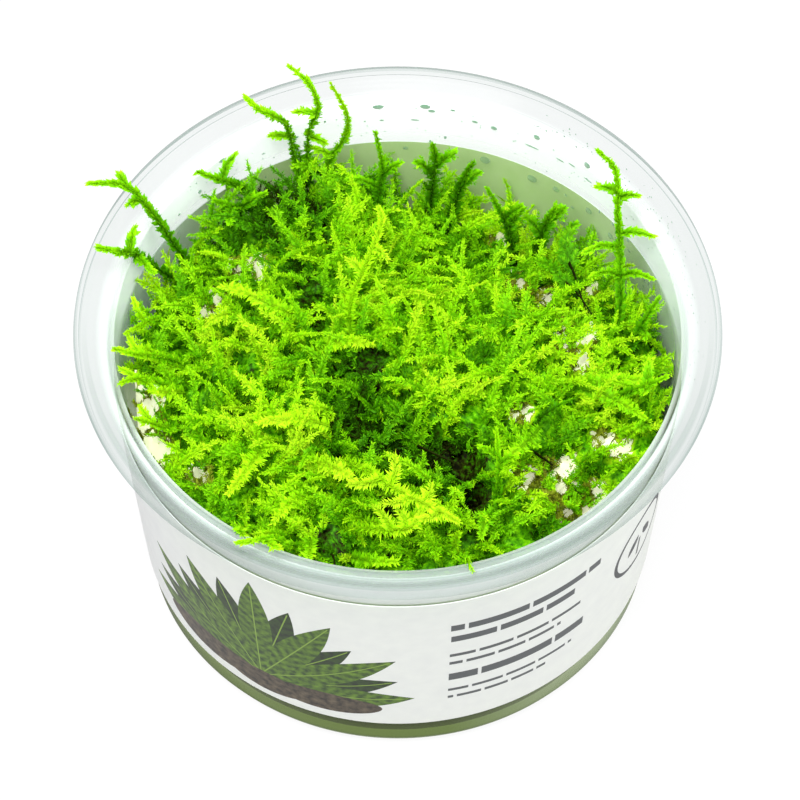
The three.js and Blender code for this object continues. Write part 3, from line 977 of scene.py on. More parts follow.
# Fronds that stand out in the mat, from root to tip, and their palette places
MAT_FRONDS = [
    ([(-13.7, -0.3, 51.6), (-10.6, -0.5, 54.6), (-7.1, -1.5, 56.7), (-3.7, -3.7, 58.3)], 0.9),
    ([(-15.4, 7.8, 50.4), (-18.6, 7.3, 53.0), (-23.6, 8.8, 54.8), (-27.7, 9.4, 56.0)], 0.85),
    ([(-10.5, -14.5, 52.1), (-14.1, -15.4, 55.2), (-17.8, -16.8, 57.2), (-21.4, -18.3, 58.6)], 0.98),
    ([(-19.7, -17.1, 51.3), (-21.8, -21.7, 54.0), (-23.8, -26.3, 55.9), (-25.8, -30.3, 57.0)], 0.9),
    ([(-15, -20.8, 51.5), (-11.9, -23.2, 54.8), (-9.1, -25.9, 57.2), (-5.6, -29.5, 58.3)], 0.98),
    ([(-13.6, -27.2, 51.1), (-15.1, -28.8, 53.5), (-16.6, -30.9, 55.2), (-18.8, -34.9, 56.2)], 0.85),
    ([(-5.2, -31.4, 51.1), (-1.3, -34, 54), (1.5, -34.7, 56.4), (3.5, -33.4, 57.4)], 0.82),
    ([(-13.2, -33.7, 50.4), (-13.3, -37.6, 53.5), (-13.4, -41.5, 55.6)], 0.75),
    ([(-7.1, -37.3, 50.2), (-4.2, -40.1, 53.5), (0, -41.6, 55.6)], 0.72),
    ([(6.4, -36.9, 50.3), (8.4, -37.9, 53.7), (9.1, -37.6, 57.5)], 0.72),
    ([(22.1, -13.8, 51.1), (20.2, -18.4, 54), (17.8, -21.8, 55.9), (16, -24.3, 56.7)], 0.72),
    ([(16.9, -27.5, 50.8), (14.2, -31.4, 53.4), (13.0, -34.6, 54.6), (12.6, -37.0, 55.2)], 0.6),
    ([(27.6, -5.9, 50.1), (31.7, -6.3, 52.3), (36, -6.7, 53.4), (40, -7.5, 54)], 0.74),
    ([(27.6, -5.9, 50.1), (31.4, -8.6, 52.5), (35.1, -11.8, 53.9), (38.1, -14.6, 54.5)], 0.68),
    ([(40.1, -10.6, 48.1), (38.5, -14, 52.5), (36.6, -17.2, 55.2)], 0.6),
    ([(-20.2, 36, 38.5), (-22.3, 38.5, 42), (-25.5, 40.2, 44.4)], 0.7),
    ([(22.6, 29.5, 39.7), (23.9, 30.8, 42.5), (25.6, 33.5, 45.2)], 0.5),
    ([(29.7, 12.3, 45.8), (27.9, 19.2, 46), (27, 23.1, 46.7), (27.3, 26.6, 47.4), (28.7, 27.5, 48)], 0.5),
    ([(29.2, 13.2, 45.6), (27.3, 14.5, 48.3), (24.6, 16.9, 50.3), (21.9, 17.3, 52)], 0.45),
    ([(-36.5, 1.8, 48.8), (-38.7, -0.2, 52.2), (-41.2, -2.2, 54.6)], 0.8),
    ([(-33.1, -6.5, 49.7), (-35.6, -8.6, 52.8), (-38.2, -9.8, 55.1)], 0.85),
    ([(-22.6, -30.6, 49.9), (-23.1, -33.8, 53.2), (-24.3, -37, 57.4), (-23, -39.4, 59.8)], 0.7),
]

# Bare old stems that cross the hollows and holes, from end to end
OLD_STEMS = [
    [(22.5, 21.0, 45.0), (25.5, 17.0, 48.2), (28.5, 12.5, 49.6), (31.0, 9.0, 48.0)],
    [(27.0, 22.5, 45.5), (28.0, 17.5, 48.4), (28.8, 13.0, 49.4), (30.0, 9.5, 48.0)],
    [(20.5, 12.0, 45.5), (23.5, 8.5, 48.0), (26.5, 4.5, 49.0), (29.0, 1.5, 48.5)],
    [(-9.5, -12.0, 47.0), (-6.0, -14.5, 48.5), (-2.0, -18.0, 48.0)],
    [(2.0, -13.5, 46.5), (6.0, -17.0, 48.0), (10.5, -19.5, 48.5), (13.0, -22.5, 50.0)],
    [(4.0, -23.0, 49.5), (5.5, -18.5, 48.0), (9.0, -14.0, 47.5)],
    [(21.0, -16.0, 47.5), (24.5, -19.5, 48.0), (28.5, -24.0, 46.5)],
    [(-12.0, -35.0, 48.5), (-10.0, -37.5, 51.5), (-9.5, -40.0, 52.0)],
]


def near(x, y, spots):
    """The largest share, from 0 to 1, by which places lie inside any of the round spots."""
    share = np.zeros_like(x)
    for spot_x, spot_y, radius in spots:
        share = np.maximum(share, 1 - np.hypot(x - spot_x, y - spot_y) / radius)
    return np.clip(share, 0, 1)


def painted_hollow_shade(x, y):
    """How much painted shade darkens the moss at a place, from 0 to 1, in and round the hollows and holes.
    """
    dark = near(x, y, [(a, b, 1.7 * r) for a, b, r in HOLES])
    for hollow_x, hollow_y, radius, _, strength in HOLLOWS:
        share = 1.25 - np.hypot(x - hollow_x, y - hollow_y) / radius
        dark = np.maximum(dark, strength * np.clip(share, 0, 1))
    return dark


def eye_place(settings):
    """Where the camera stands, in mm."""
    rise = settings.elevation
    up = np.array([0, math.sin(rise), math.cos(rise)])
    back = np.array([0, -math.cos(rise), math.sin(rise)])
    aim = np.array(LOOK_AT) + up * LOOK_SHIFT
    return aim + back * settings.distance / MM


def from_sight(points, x, y, eye):
    """Ways from a place on the mound to points, and how far they lie off the line to the eye."""
    start = np.array([x, y, mound_height(x, y)])
    sight = unit(eye - start)
    away = points - start
    return away, np.linalg.norm(away - (away @ sight)[:, None] * sight, axis=1)


def mat_layout(count, rng):
    """Fronds of the mat: paths, directions across, longest side branches and shades."""
    number = np.arange(count)
    # Of every ten fronds five grow at the top, two lower down and three lowest.
    layer = np.where(number % 10 < 3, 2, np.where(number % 10 < 5, 1, 0))
    # They stand on a sunflower spiral, a little out of place.
    angle = number * np.pi * (3 - math.sqrt(5)) + rng.normal(0, 0.1, count)
    radius = MAT_RADIUS * np.sqrt((number + 0.5) / count)
    x = radius * np.cos(angle) + rng.normal(0, 0.7, count)
    y = radius * np.sin(angle) + rng.normal(0, 0.7, count)
    # On the shoulder they climb the wall.
    climb = on_shoulder(x, y) * (radius > 28)
    top = smooth_mound(x, y) + 1.1 * patchy(x, y, 5) + 2.5 * climb
    length = rng.uniform(9.5, 15.5, count) - 1.5 * (layer == 2)
    height = top - LAYER_DEPTHS[layer] + rng.normal(0, 1.3, count)
    outward = np.stack([x, y], 1) / np.maximum(radius, 1)[:, None]
    # Each leans its own way, and outwards near the wall, and bends over towards its tip.
    lean_angle = rng.uniform(0, 2 * np.pi, count)
    lean = np.stack([np.cos(lean_angle), np.sin(lean_angle)], 1)
    lean = lean * 0.95 + outward * (0.25 + 0.5 * (radius / 41) ** 2)[:, None]
    lean = unit(lean) * rng.uniform(0.35, 1.25, count)[:, None]
    first = unit(np.column_stack([lean * 0.25, np.ones(count)]))
    last = unit(np.column_stack([lean * 1.3, rng.uniform(-0.1, 0.75, count)]))
    steps = np.linspace(0, 1, 7)[None, :, None]
    heading = unit(first[:, None] * (1 - steps) + last[:, None] * steps)
    root = np.column_stack([x - 3.2 * lean[:, 0], y - 3.2 * lean[:, 1], height])
    stride = (length / 6)[:, None, None] * heading[:, :-1]
    paths = root[:, None] + np.concatenate([np.zeros((count, 1, 3)), np.cumsum(stride, 1)], 1)
    middle = unit(paths[:, -1] - paths[:, 0])
    level = np.column_stack([-lean[:, 1], lean[:, 0], np.zeros(count)])
    roll = rng.normal(0, 0.5, count)[:, None]
    level = unit(level)
    sides = unit(level * np.cos(roll) + np.cross(middle, level) * np.sin(roll))
    # Tones: paler in the bright clumps and, as painted light, towards the right and left sides; darker in
    # the hollows as painted shade, on the back left's shoulder as darker green and painted shade, and in
    # the lower layers.
    tip = paths[:, -1]
    side = np.where(x > 0, 0.0028 * x, -0.002 * x) - 0.2 * climb
    tone = MAT_TONE + 0.17 * patchy(x, y, 11) + side + rng.normal(0, 0.08, count)
    tone = tone - LAYER_AGE_AND_SHADE[layer]
    for spot_x, spot_y, spread, gain in CLUMPS:
        share = np.clip(1 - np.hypot(tip[:, 0] - spot_x, tip[:, 1] - spot_y) / spread, 0, 1)
        tone = tone + gain * share
    dark = painted_hollow_shade(tip[:, 0], tip[:, 1])
    tone = tone - 0.6 * dark
    drop = np.maximum(hollow_drop(tip[:, 0], tip[:, 1]), hollow_drop(x, y)) * (1 + 0.4 * dark)
    drop = np.maximum(drop, 5.0 * (near(tip[:, 0], tip[:, 1], HOLES) > 0.1))
    paths[:, :, 2] -= drop[:, None]
    shades = np.stack([tone - 0.3, tone + 0.14], 1)
    # Two in seven fronds have long side branches.
    bushy = np.where(number % 7 < 2, rng.uniform(0.18, 0.26, count), rng.uniform(0.08, 0.16, count))
    return paths, sides, length * bushy, shades


def hollow_layout(rng):
    """Short fronds in the hollows: paths, directions across, side branches and shades."""
    spots = []
    for hollow_x, hollow_y, radius, _, strength in HOLLOWS:
        for _ in range(int(2.2 * radius**2 * min(1, strength + 0.25))):
            turn, share = rng.uniform(0, 2 * np.pi), math.sqrt(rng.uniform(0, 1))
            x = hollow_x + radius * share * math.cos(turn)
            y = hollow_y + radius * share * math.sin(turn)
            spots.append((x, y))
    x, y = np.array(spots).T
    count = len(x)
    root = np.column_stack([x, y, mound_height(x, y) - THATCH_DEPTH])
    turn = rng.uniform(0, 2 * np.pi, count)
    lean = np.column_stack([np.cos(turn), np.sin(turn), np.zeros(count)])
    end = root + lean * rng.uniform(0.5, 4.0, count)[:, None]
    end[:, 2] += rng.uniform(3.5, 7.0, count)
    knee = (root + end) / 2 - lean * 0.8
    paths = np.stack([root, (root + knee) / 2, knee, (knee + end) / 2, end], axis=1)
    sides = unit(np.cross(end - root, lean + [0.1, 0.1, 0.3]))
    # Painted shade makes them darker in the darker hollows.
    tone = 0.56 - 0.42 * painted_hollow_shade(x, y) + rng.normal(0, 0.07, count)
    return paths, sides, np.full(count, 0.9), np.stack([tone - 0.2, tone + 0.08], 1)


def dressed(
    paths, sides, longest, shades, leaf, rng, pitch=2.0, per_mm=9.0, spread=56, start=0.0
):
    """Fronds with stems, side branches and leaves, as one grown mesh."""
    branches, branch_sides, tone = grow_branches(paths, sides, longest, shades, pitch, rng)
    sizes = np.full(len(paths), leaf)
    small = np.full(len(branches), leaf * 0.86)
    return joined(
        grow_stems(paths, sides, np.full(len(paths), 0.28), shades - 0.05, 3),
        grow_stems(branches, branch_sides, np.full(len(branches), 0.18), tone - 0.02, 2),
        grow_leaves(paths, sides, sizes, shades, per_mm, rng, spread=spread, start=start),
        grow_leaves(branches, branch_sides, small, tone, per_mm, rng, spread=spread),
    )


def standing_fronds(leaf, rng):
    """The fronds that stand out in the mat, as one grown mesh."""
    paths = np.array([curve_through(points, 9) for points, _ in MAT_FRONDS])
    shades = np.array([(tone - 0.22, tone + 0.08) for _, tone in MAT_FRONDS])
    longest = path_lengths(paths) * 0.12
    return dressed(
        paths, facing_eye(paths), longest, shades, 1.35 * leaf, rng, pitch=1.8, per_mm=12.0, spread=66
    )


def old_stems():
    """The bare old stems, as one grown mesh."""
    paths = np.array([curve_through(points, 8) for points in OLD_STEMS])
    widths = np.full(len(paths), 0.6)
    return grow_stems(paths, facing_eye(paths), widths, np.full((len(paths), 2), 0.1), 3)


def thatch(rng):
    """The dark tangle of old stems under the fronds, from the gel up to below the mound's top."""
    rings, flats = 46, 170
    # Its top is rough and follows the mound, and sinks under the holes.
    shares = np.linspace(0, 1, rings)[:, None]
    turn = np.linspace(0, 2 * np.pi, flats, endpoint=False)[None, :]
    radius = shares * THATCH_RADIUS
    x, y = radius * np.cos(turn), radius * np.sin(turn)
    dark = painted_hollow_shade(x.ravel(), y.ravel()).reshape(x.shape)
    holes = near(x.ravel(), y.ravel(), HOLES).reshape(x.shape)
    z = mound_height(x, y) - THATCH_DEPTH
    z = z - 1.6 * patchy(x, y, 23) - 1.0 * patchy(2.7 * x, 2.7 * y, 29)
    z = z + rng.normal(0, 0.9, z.shape) - 4.0 * np.minimum(1, 2.5 * holes)
    top = np.stack([x, y, z], axis=2)
    # Its sides go down along the wall to the gel.
    sides = []
    ways_down = (0.3, 0.6, 0.85, 1.0)
    for share in ways_down:
        height = z[-1] * (1 - share) + (GEL_TOP + 0.3) * share
        wall = inner_wall(height) - 1.0 + rng.normal(0, 0.25, height.shape)
        sides.append(np.stack([wall * np.cos(turn[0]), wall * np.sin(turn[0]), height], axis=1))
    points = np.concatenate([top, np.array(sides)])
    rows = len(points)
    ring = np.arange(rows - 1)[:, None] * flats
    spoke = np.arange(flats)[None, :]
    a = (ring + spoke).ravel()
    b = (ring + (spoke + 1) % flats).ravel()
    faces = np.concatenate([np.stack([a, b, b + flats], 1), np.stack([a, b + flats, a + flats], 1)])
    points = points.reshape(-1, 3)
    # Painted shade: in and round the hollows the thatch is painted darker.
    green = np.concatenate([(0.4 - 0.34 * dark).ravel(), np.full(flats * len(ways_down), 0.12)])
    shade = np.clip(green + rng.uniform(-0.1, 0.12, len(points)), 0, 1)
    # A place of two along the blade tells the material that this is thatch.
    return points, faces, np.column_stack([shade, np.full(len(points), 2.0)])


def mat_regions(x, y):
    """The mat's region at a place: 0 in the middle, and 1 to 4 for right, back, left and front."""
    angle = (np.arctan2(y, x) + 2 * np.pi) % (2 * np.pi)
    quarter = 1 + ((angle + np.pi / 4) // (np.pi / 2)).astype(int) % 4
    return np.where(np.hypot(x, y) < CREST_RADIUS, 0, quarter)


def opened(grown, thatch_faces, eye):
    """Clears the gaps and holes along the line of sight: which faces stay, and palette places.

    The first faces are thatch. It stays, and behind a gap it is painted as pale agar that glows with light
    from below. Leaves at a gap's edge are painted as backlit.
    """
    points, faces, uv = grown
    middle = points[faces].mean(axis=1)
    below = mound_height(middle[:, 0], middle[:, 1]) - middle[:, 2]
    is_thatch = np.arange(len(faces)) < thatch_faces
    wanted = np.ones(len(faces), bool)
    painted_hole_shade, painted_backlit, pale = (np.zeros(len(faces), bool) for _ in range(3))
    for x, y, radius in GAPS:
        away, off = from_sight(middle, x, y, eye)
        # Each gap has a ragged edge of its own.
        turn = np.arctan2(away[:, 1], away[:, 0])
        edge = radius * (1 + 0.35 * np.sin(3 * turn + x) + 0.25 * np.sin(7 * turn + y))
        wanted &= (off > edge) | is_thatch
        painted_backlit |= (off < edge + 1.3) & (below > 1.5) & ~is_thatch
        pale |= (off < edge + 0.8) & is_thatch
    for x, y, radius in HOLES:
        _, off = from_sight(middle, x, y, eye)
        wanted &= (off > radius) | (below > 5) | is_thatch
        painted_hole_shade |= (off < 1.2 * radius) & (below > 3)
    # Moss deep in the mat is painted darker, for its age and as painted shade for the light it doesn't get,
    # and round a hole it is painted darker again by half, as painted shade.
    depth = mound_height(points[:, 0], points[:, 1]) - points[:, 2]
    shade = on_palette(uv[:, 0] - np.clip(depth - 4.0, 0, 12) * 0.015)
    shade[faces[painted_hole_shade]] *= 0.5
    shade[faces[painted_backlit]] = PAINTED_BACKLIGHT
    shade[faces[pale]] = PAINTED_LIT_AGAR
    return wanted, np.column_stack([shade, uv[:, 1]])


# Shoots that stand out of the mat: their places from root to tip, each side branch's share of
# the stem and tip, and the palette place
SHOOTS = {
    "left_far": (
        [(-32, 21, 42), (-35.5, 20, 53), (-38.5, 20, 61), (-42.5, 21.5, 66), (-48, 20.5, 68)],
        [(0.6, (-42.2, 18.5, 65.0)), (0.72, (-43.5, 23.2, 66.8))],
        0.6,
    ),
    "left_upper": (
        [(-34.5, 18.5, 44), (-39, 16, 53), (-41, 13.5, 59), (-43, 10.5, 63.5), (-46.5, 9.5, 66)],
        [(0.5, (-38, 9.5, 59.5)), (0.62, (-41, 16, 62.5))],
        0.6,
    ),
    "left_back_low": (
        [(-20, 33, 41), (-22.5, 32.5, 48), (-25.5, 31.5, 53), (-28.5, 30, 56.5), (-31.5, 29.5, 59)],
        [(0.7, (-26, 34, 57.5))],
        0.55,
    ),
    "left_back_inner": (
        [(-20, 29, 42), (-23.5, 29, 50), (-26, 26.5, 54), (-29, 25, 57.5)],
        [(0.5, (-21, 28, 55.5)), (0.7, (-26.5, 22, 55.5))],
        0.55,
    ),
    "back_bent": (
        [(-14.5, 36.5, 41), (-16.5, 38.5, 50), (-17, 37, 58), (-18, 35, 65), (-21.5, 33.5, 69.5),
         (-24, 34.5, 72)],
        [(0.42, (-20.5, 37.5, 58)), (0.62, (-21.5, 36.5, 66.5))],
        0.68,
    ),
    "back_tall": (
        [(-13.5, 37, 42), (-14.5, 38, 51), (-14, 36.5, 61), (-12.5, 35, 68.5), (-14, 36, 73.5),
         (-17, 37, 76.5)],
        [(0.35, (-11.5, 37.5, 56)), (0.55, (-16.5, 36, 66))],
        0.68,
    ),
    "back_slim": (
        [(-12, 35, 43), (-11, 38.5, 50), (-8.5, 36.5, 58.5), (-8, 35.5, 66), (-10.5, 35.5, 74)],
        [(0.3, (-14, 39, 53))],
        0.76,
    ),
    "back_middle": (
        [(-4, 30.5, 42), (-3, 32.5, 49), (-2.5, 33, 56), (-3.5, 33.5, 64)],
        [(0.4, (-8, 32, 54)), (0.55, (0.5, 33, 57))],
        0.55,
    ),
    "back_broad": (
        [(5, 32, 42), (5.5, 34, 49), (6, 33.5, 57), (5.5, 33.5, 61)],
        [(0.45, (3, 34, 56)), (0.55, (9, 35, 57))],
        0.5,
    ),
    "back_leaning": (
        [(8, 31, 41), (9.5, 32.5, 49), (10.5, 32, 54), (12, 31.5, 59)],
        [(0.5, (13, 34, 53))],
        0.5,
    ),
    "right_back_thin": (
        [(19, 23.5, 41), (18, 24.5, 48), (16.5, 24, 55), (14, 24.5, 61.5)],
        [(0.45, (20, 26, 54)), (0.6, (19.5, 24, 57.5))],
        0.48,
    ),
    "right_back_leafy": (
        [(21, 22.5, 40), (22.5, 24.5, 46.5), (23.5, 25, 51.5), (25, 25, 55.5)],
        [(0.45, (20.5, 26.5, 51)), (0.6, (26.5, 27, 53))],
        0.48,
    ),
    "right_tall": (
        [(33, 6.5, 43), (35, 10, 48.5), (35, 15.5, 54.5), (34.5, 18.5, 62), (34, 22, 69),
         (31, 23, 73)],
        [(0.34, (30, 11, 56)), (0.34, (40, 11.5, 55)), (0.46, (29, 14, 58.5)),
         (0.52, (40, 16.5, 59.5)), (0.7, (31, 20.5, 67)), (0.68, (37.5, 19.5, 66))],
        0.62,
    ),
    "left_top": (
        [(-34, 7, 46), (-37.5, 5, 53), (-39.5, 0.5, 58), (-42, -4, 62)],
        [(0.6, (-41, 3.5, 60.5))],
        0.8,
    ),
    "left_middle": (
        [(-33, 0.5, 47), (-37, -3, 54.5), (-40, -6.5, 60), (-43.5, -7.5, 63)],
        [(0.6, (-41.5, -3.5, 60.5))],
        0.8,
    ),
    "left_low": (
        [(-33.5, -5.5, 48), (-37.5, -8, 55), (-40, -11, 60), (-42.5, -14, 63)],
        [(0.6, (-42.5, -9.5, 60.5)), (0.5, (-37, -13, 59))],
        0.8,
    ),
    "left_front": (
        [(-33.5, -13, 49), (-36.5, -17, 56), (-40, -19.5, 61.5)],
        [(0.6, (-39.5, -15.5, 59))],
        0.8,
    ),
    "crest_upright": (
        [(-7, 1, 50), (-7.5, 4, 58), (-5, 7.5, 64), (-2.5, 12, 69), (-3, 13.5, 71)],
        [(0.45, (-8, 9.5, 63)), (0.6, (-1.5, 7.5, 65.5))],
        0.92,
    ),
    "crest_long": (
        [(-9, -19.5, 50), (-4.5, -27.5, 59), (0.5, -34, 63), (5.5, -38.5, 65.5), (9, -41.5, 66.5)],
        [(0.35, (-7.5, -30.5, 60)), (0.42, (-0.5, -26, 61)), (0.58, (-2.5, -36, 63)),
         (0.66, (5, -33, 64)), (0.8, (3.5, -40.5, 65.5))],
        1.0,
    ),
    "front_forked": (
        [(-9, -31, 48), (-4.5, -36, 56), (-1, -38.5, 59.5), (2, -39.5, 62), (3.5, -37.5, 63)],
        [(0.5, (-3.5, -34.5, 60)), (0.68, (-0.5, -35.5, 62))],
        0.95,
    ),
    "front_edge": (
        [(-16.5, -36.5, 48), (-18, -38.5, 56.5), (-20.5, -41.5, 61.5), (-24, -43, 63)],
        [(0.6, (-17.5, -43, 61.5))],
        0.75,
    ),
    "right_front": (
        [(15, -27, 48), (15.5, -25.5, 55), (15, -22, 62)],
        [(0.7, (12.5, -24, 60.5)), (0.62, (18, -25.5, 60))],
        0.66,
    ),
    "right_edge": (
        [(33.5, 0, 45), (36.5, 1, 52), (38.5, 2.5, 57), (40.5, 3.5, 61)],
        [(0.55, (38.5, -1.5, 57))],
        0.5,
    ),
    "right_reach": (
        [(31, -7.5, 46), (34, -9.5, 53), (38, -11, 58), (41, -11.5, 61)],
        [(0.66, (37.5, -14, 60)), (0.7, (38.5, -7.5, 60))],
        0.62,
    ),
}
YOUNG = ("crest_upright", "crest_long", "front_forked", "front_edge")
# How some shoots' leaves differ: length as a share of the others', angle to the stem in degrees,
# half width as a share of the length, and the twigs' length in mm
HABITS = {
    "crest_long": (1.5, 68, 0.14, 0.5),
    "front_forked": (1.45, 68, 0.14, 0.5),
    "crest_upright": (1.25, 60, 0.16, 0.7),
    "left_far": (1.5, 42, 0.29, 1.1),
    "left_upper": (1.5, 42, 0.29, 1.1),
    "left_back_low": (1.5, 42, 0.29, 1.2),
    "left_back_inner": (1.5, 42, 0.29, 1.2),
    "right_front": (1.5, 26, 0.22, 0.3),
    "right_tall": (1.4, 34, 0.28, 0.8),
    "back_middle": (1.3, 42, 0.26, 1.5),
    "back_broad": (1.5, 48, 0.27, 2.2),
    "back_leaning": (1.5, 48, 0.27, 1.8),
    "right_back_thin": (1.3, 44, 0.26, 1.6),
    "right_back_leafy": (1.5, 48, 0.28, 2.2),
}
PLAIN_HABIT = (1.3, 38, 0.25, 1.1)

# Condensation on the back wall: angle round the cup in degrees, height, width and depth in mm
DROPS = [
    (94.1, 57.2, 1.9, 0.9),
    (84.3, 57.4, 1.7, 1.0),
    (82.9, 56.5, 1.2, 0.6),
    (78.5, 57.3, 0.9, 0.4),
    (73.7, 55.6, 1.0, 0.5),
    (69.5, 55.3, 1.1, 0.8),
    (59.8, 56.9, 1.2, 1.0),
    (47.0, 57.2, 1.2, 1.2),
    (86.4, 54.1, 1.4, 0.3),
    (60.7, 54.2, 2.6, 0.3),
    (53.8, 54.4, 1.6, 0.3),
    (50.8, 54.9, 1.4, 0.3),
    (46.3, 54.0, 1.8, 0.3),
    (129.5, 56.2, 1.2, 0.7),
    (71.0, 47.2, 1.8, 1.6),
    (60.0, 46.8, 1.8, 1.5),
    (54.0, 47.2, 1.3, 1.2),
    (45.0, 47.3, 1.4, 1.2),
    (74.0, 45.4, 1.4, 1.2),
    (38.0, 46.0, 1.3, 1.2),
]
# Finer drops strewn over the wall: how many, and their ranges of angle, height and size
SPRAYS = [
    (46, (20, 150), (34, 56), (0.3, 0.9)),
    (90, (5, 140), (50, 57.3), (0.12, 0.3)),
]
FLANGE_FLECKS = 110


# One operator for each piece or group of like pieces


class MOSS_CUP_OT_cup(bpy.types.Operator):
    """Model the clear cup: foot ring, leaning wall, dished flange and hanging skirt"""

    bl_idname = "moss_cup.cup"
    bl_label = "Cup"

    def execute(self, context):
        settings = context.scene.moss_cup_cup
        # Radius and height: under the foot, up the outside, over the flange and down the inside
        profile = [
            (34.6, 0.8), (35.0, 0.55), (35.3, 0.15), (35.8, 0.0), (38.0, 0.0), (39.0, 0.2),
            (39.9, 0.8), (outer_wall(2.4), 2.4), (outer_wall(30), 30), (outer_wall(56), 56),
            (45.4, 56.8), (45.95, 57.2), (47.2, 57.9), (48.6, 58.7), (49.1, 59.0), (49.35, 58.8),
            (49.5, 58.5), (50.3, 58.5), (50.2, 59.2), (49.95, 60.1), (49.6, 60.4), (49.2, 60.3),
            (48.9, 59.95), (48.2, 59.45), (47.9, 59.1), (47.5, 59.05), (46.9, 58.55),
            (46.25, 58.15), (45.9, 58.3), (45.5, 58.2), (45.1, 57.85), (inner_wall(56.9), 56.9),
            (inner_wall(56.2), 56.2), (inner_wall(30), 30), (inner_wall(4.4), 4.4),
            (inner_wall(3.4) - 0.2, 3.4), (39.2, 2.4), (38.0, 1.8), (36.8, 1.7),
        ]
        piece = turned(profile, settings.flats)
        bpy.ops.object.shade_smooth_by_angle(angle=math.radians(50))
        piece.data.materials.append(moulded_polypropylene(settings.plastic))
        finish(piece, "cup_moulding", "clear_plastic", "cup")
        return {"FINISHED"}


class MOSS_CUP_OT_label(bpy.types.Operator):
    """Wrap the printed film round the wall"""

    bl_idname = "moss_cup.label"
    bl_label = "Label"

    def execute(self, context):
        settings = context.scene.moss_cup_label
        deselect()
        bpy.ops.mesh.primitive_grid_add(x_subdivisions=240, y_subdivisions=6, size=1)
        piece = context.object
        low, high = settings.bottom / MM, settings.top / MM
        # The film starts at the right side, goes once round and laps its own start. Before the
        # lap it lifts off the wall, by lap_lift mm for each share of its length.
        lap = 0.05
        turn = 2 * math.pi + lap
        end = math.radians(8)
        front = 1 - (end + math.pi / 2) / turn
        off_wall = 0.24
        lap_start, lap_lift = 0.48, 8
        for vertex in piece.data.vertices:
            x, y = vertex.co.x, vertex.co.y
            angle = end + (x - 0.5) * turn
            height = low + (y + 0.5) * (high - low)
            radius = outer_wall(height) + off_wall + max(0.0, x - lap_start) * lap_lift
            vertex.co = Vector((radius * math.cos(angle), radius * math.sin(angle), height)) * MM
        thick = piece.modifiers.new("film", "SOLIDIFY")
        thick.thickness = settings.film
        thick.offset = 1.0
        bpy.ops.object.modifier_apply(modifier="film")
        bpy.ops.object.shade_smooth_by_angle(angle=math.radians(40))
        around = turn * outer_wall((low + high) / 2)
        piece.data.materials.append(label_film(around, high - low, front))
        piece.data.materials.append(label_back())
        for face in piece.data.polygons:
            inward = face.center.x * face.normal.x + face.center.y * face.normal.y < 0
            face.material_index = int(inward)
        finish(piece, "label_wrap", "label_film", "label")
        return {"FINISHED"}


class MOSS_CUP_OT_gel(bpy.types.Operator):
    """Pour the nutrient gel, with the skin that creeps up the wall"""

    bl_idname = "moss_cup.gel"
    bl_label = "Gel"

    def execute(self, context):
        top = context.scene.moss_cup_gel.top / MM
        profile = [
            (37.0, 2.0), (38.0, 2.15), (39.0, 3.0), (inner_wall(4.4) - 0.25, 4.4),
            (inner_wall(top) - 0.25, top - 0.3), (inner_wall(top) - 0.25, top),
            (inner_wall(top) - 0.6, top - 0.15), (inner_wall(top) - 1.6, top - 0.4), (20.0, top - 0.5),
        ]
        piece = turned(profile, 128)
        bpy.ops.object.shade_smooth_by_angle(angle=math.radians(50))
        piece.data.materials.append(agar_gel())
        finish(piece, "gel_layer", "nutrient_gel", "gel")
        return {"FINISHED"}


class MOSS_CUP_OT_mat(bpy.types.Operator):
    """Grow the mat of moss that fills the cup"""

    bl_idname = "moss_cup.mat"
    bl_label = "Moss mat"

    def execute(self, context):
        settings = context.scene.moss_cup_moss
        rng = np.random.default_rng(SEED)
        leaf = settings.leaf / MM
        fronds = dressed(*mat_layout(settings.fronds, rng), leaf, rng, start=0.25)
        standing = standing_fronds(leaf, rng)
        short = dressed(*hollow_layout(rng), leaf, rng)
        under = thatch(rng)
        grown = joined(under, fronds, standing, short, old_stems())
        wanted, uv = opened(grown, len(under[1]), eye_place(context.scene.moss_cup_stage))
        points, faces, _ = grown
        x, y, _ = points[faces].mean(axis=1).T
        region = mat_regions(x, y)
        material = moss_leaf()
        for number, name in enumerate(("crest", "right", "back", "left", "front")):
            some = keep_faces((points, faces, uv), wanted & (region == number))
            piece = mesh_object("moss_mat_" + name, *held_in_cup(some))
            piece.data.materials.append(material)
            finish(piece, "moss_mat_" + name, "moss_leaf", "moss_mat")
        return {"FINISHED"}


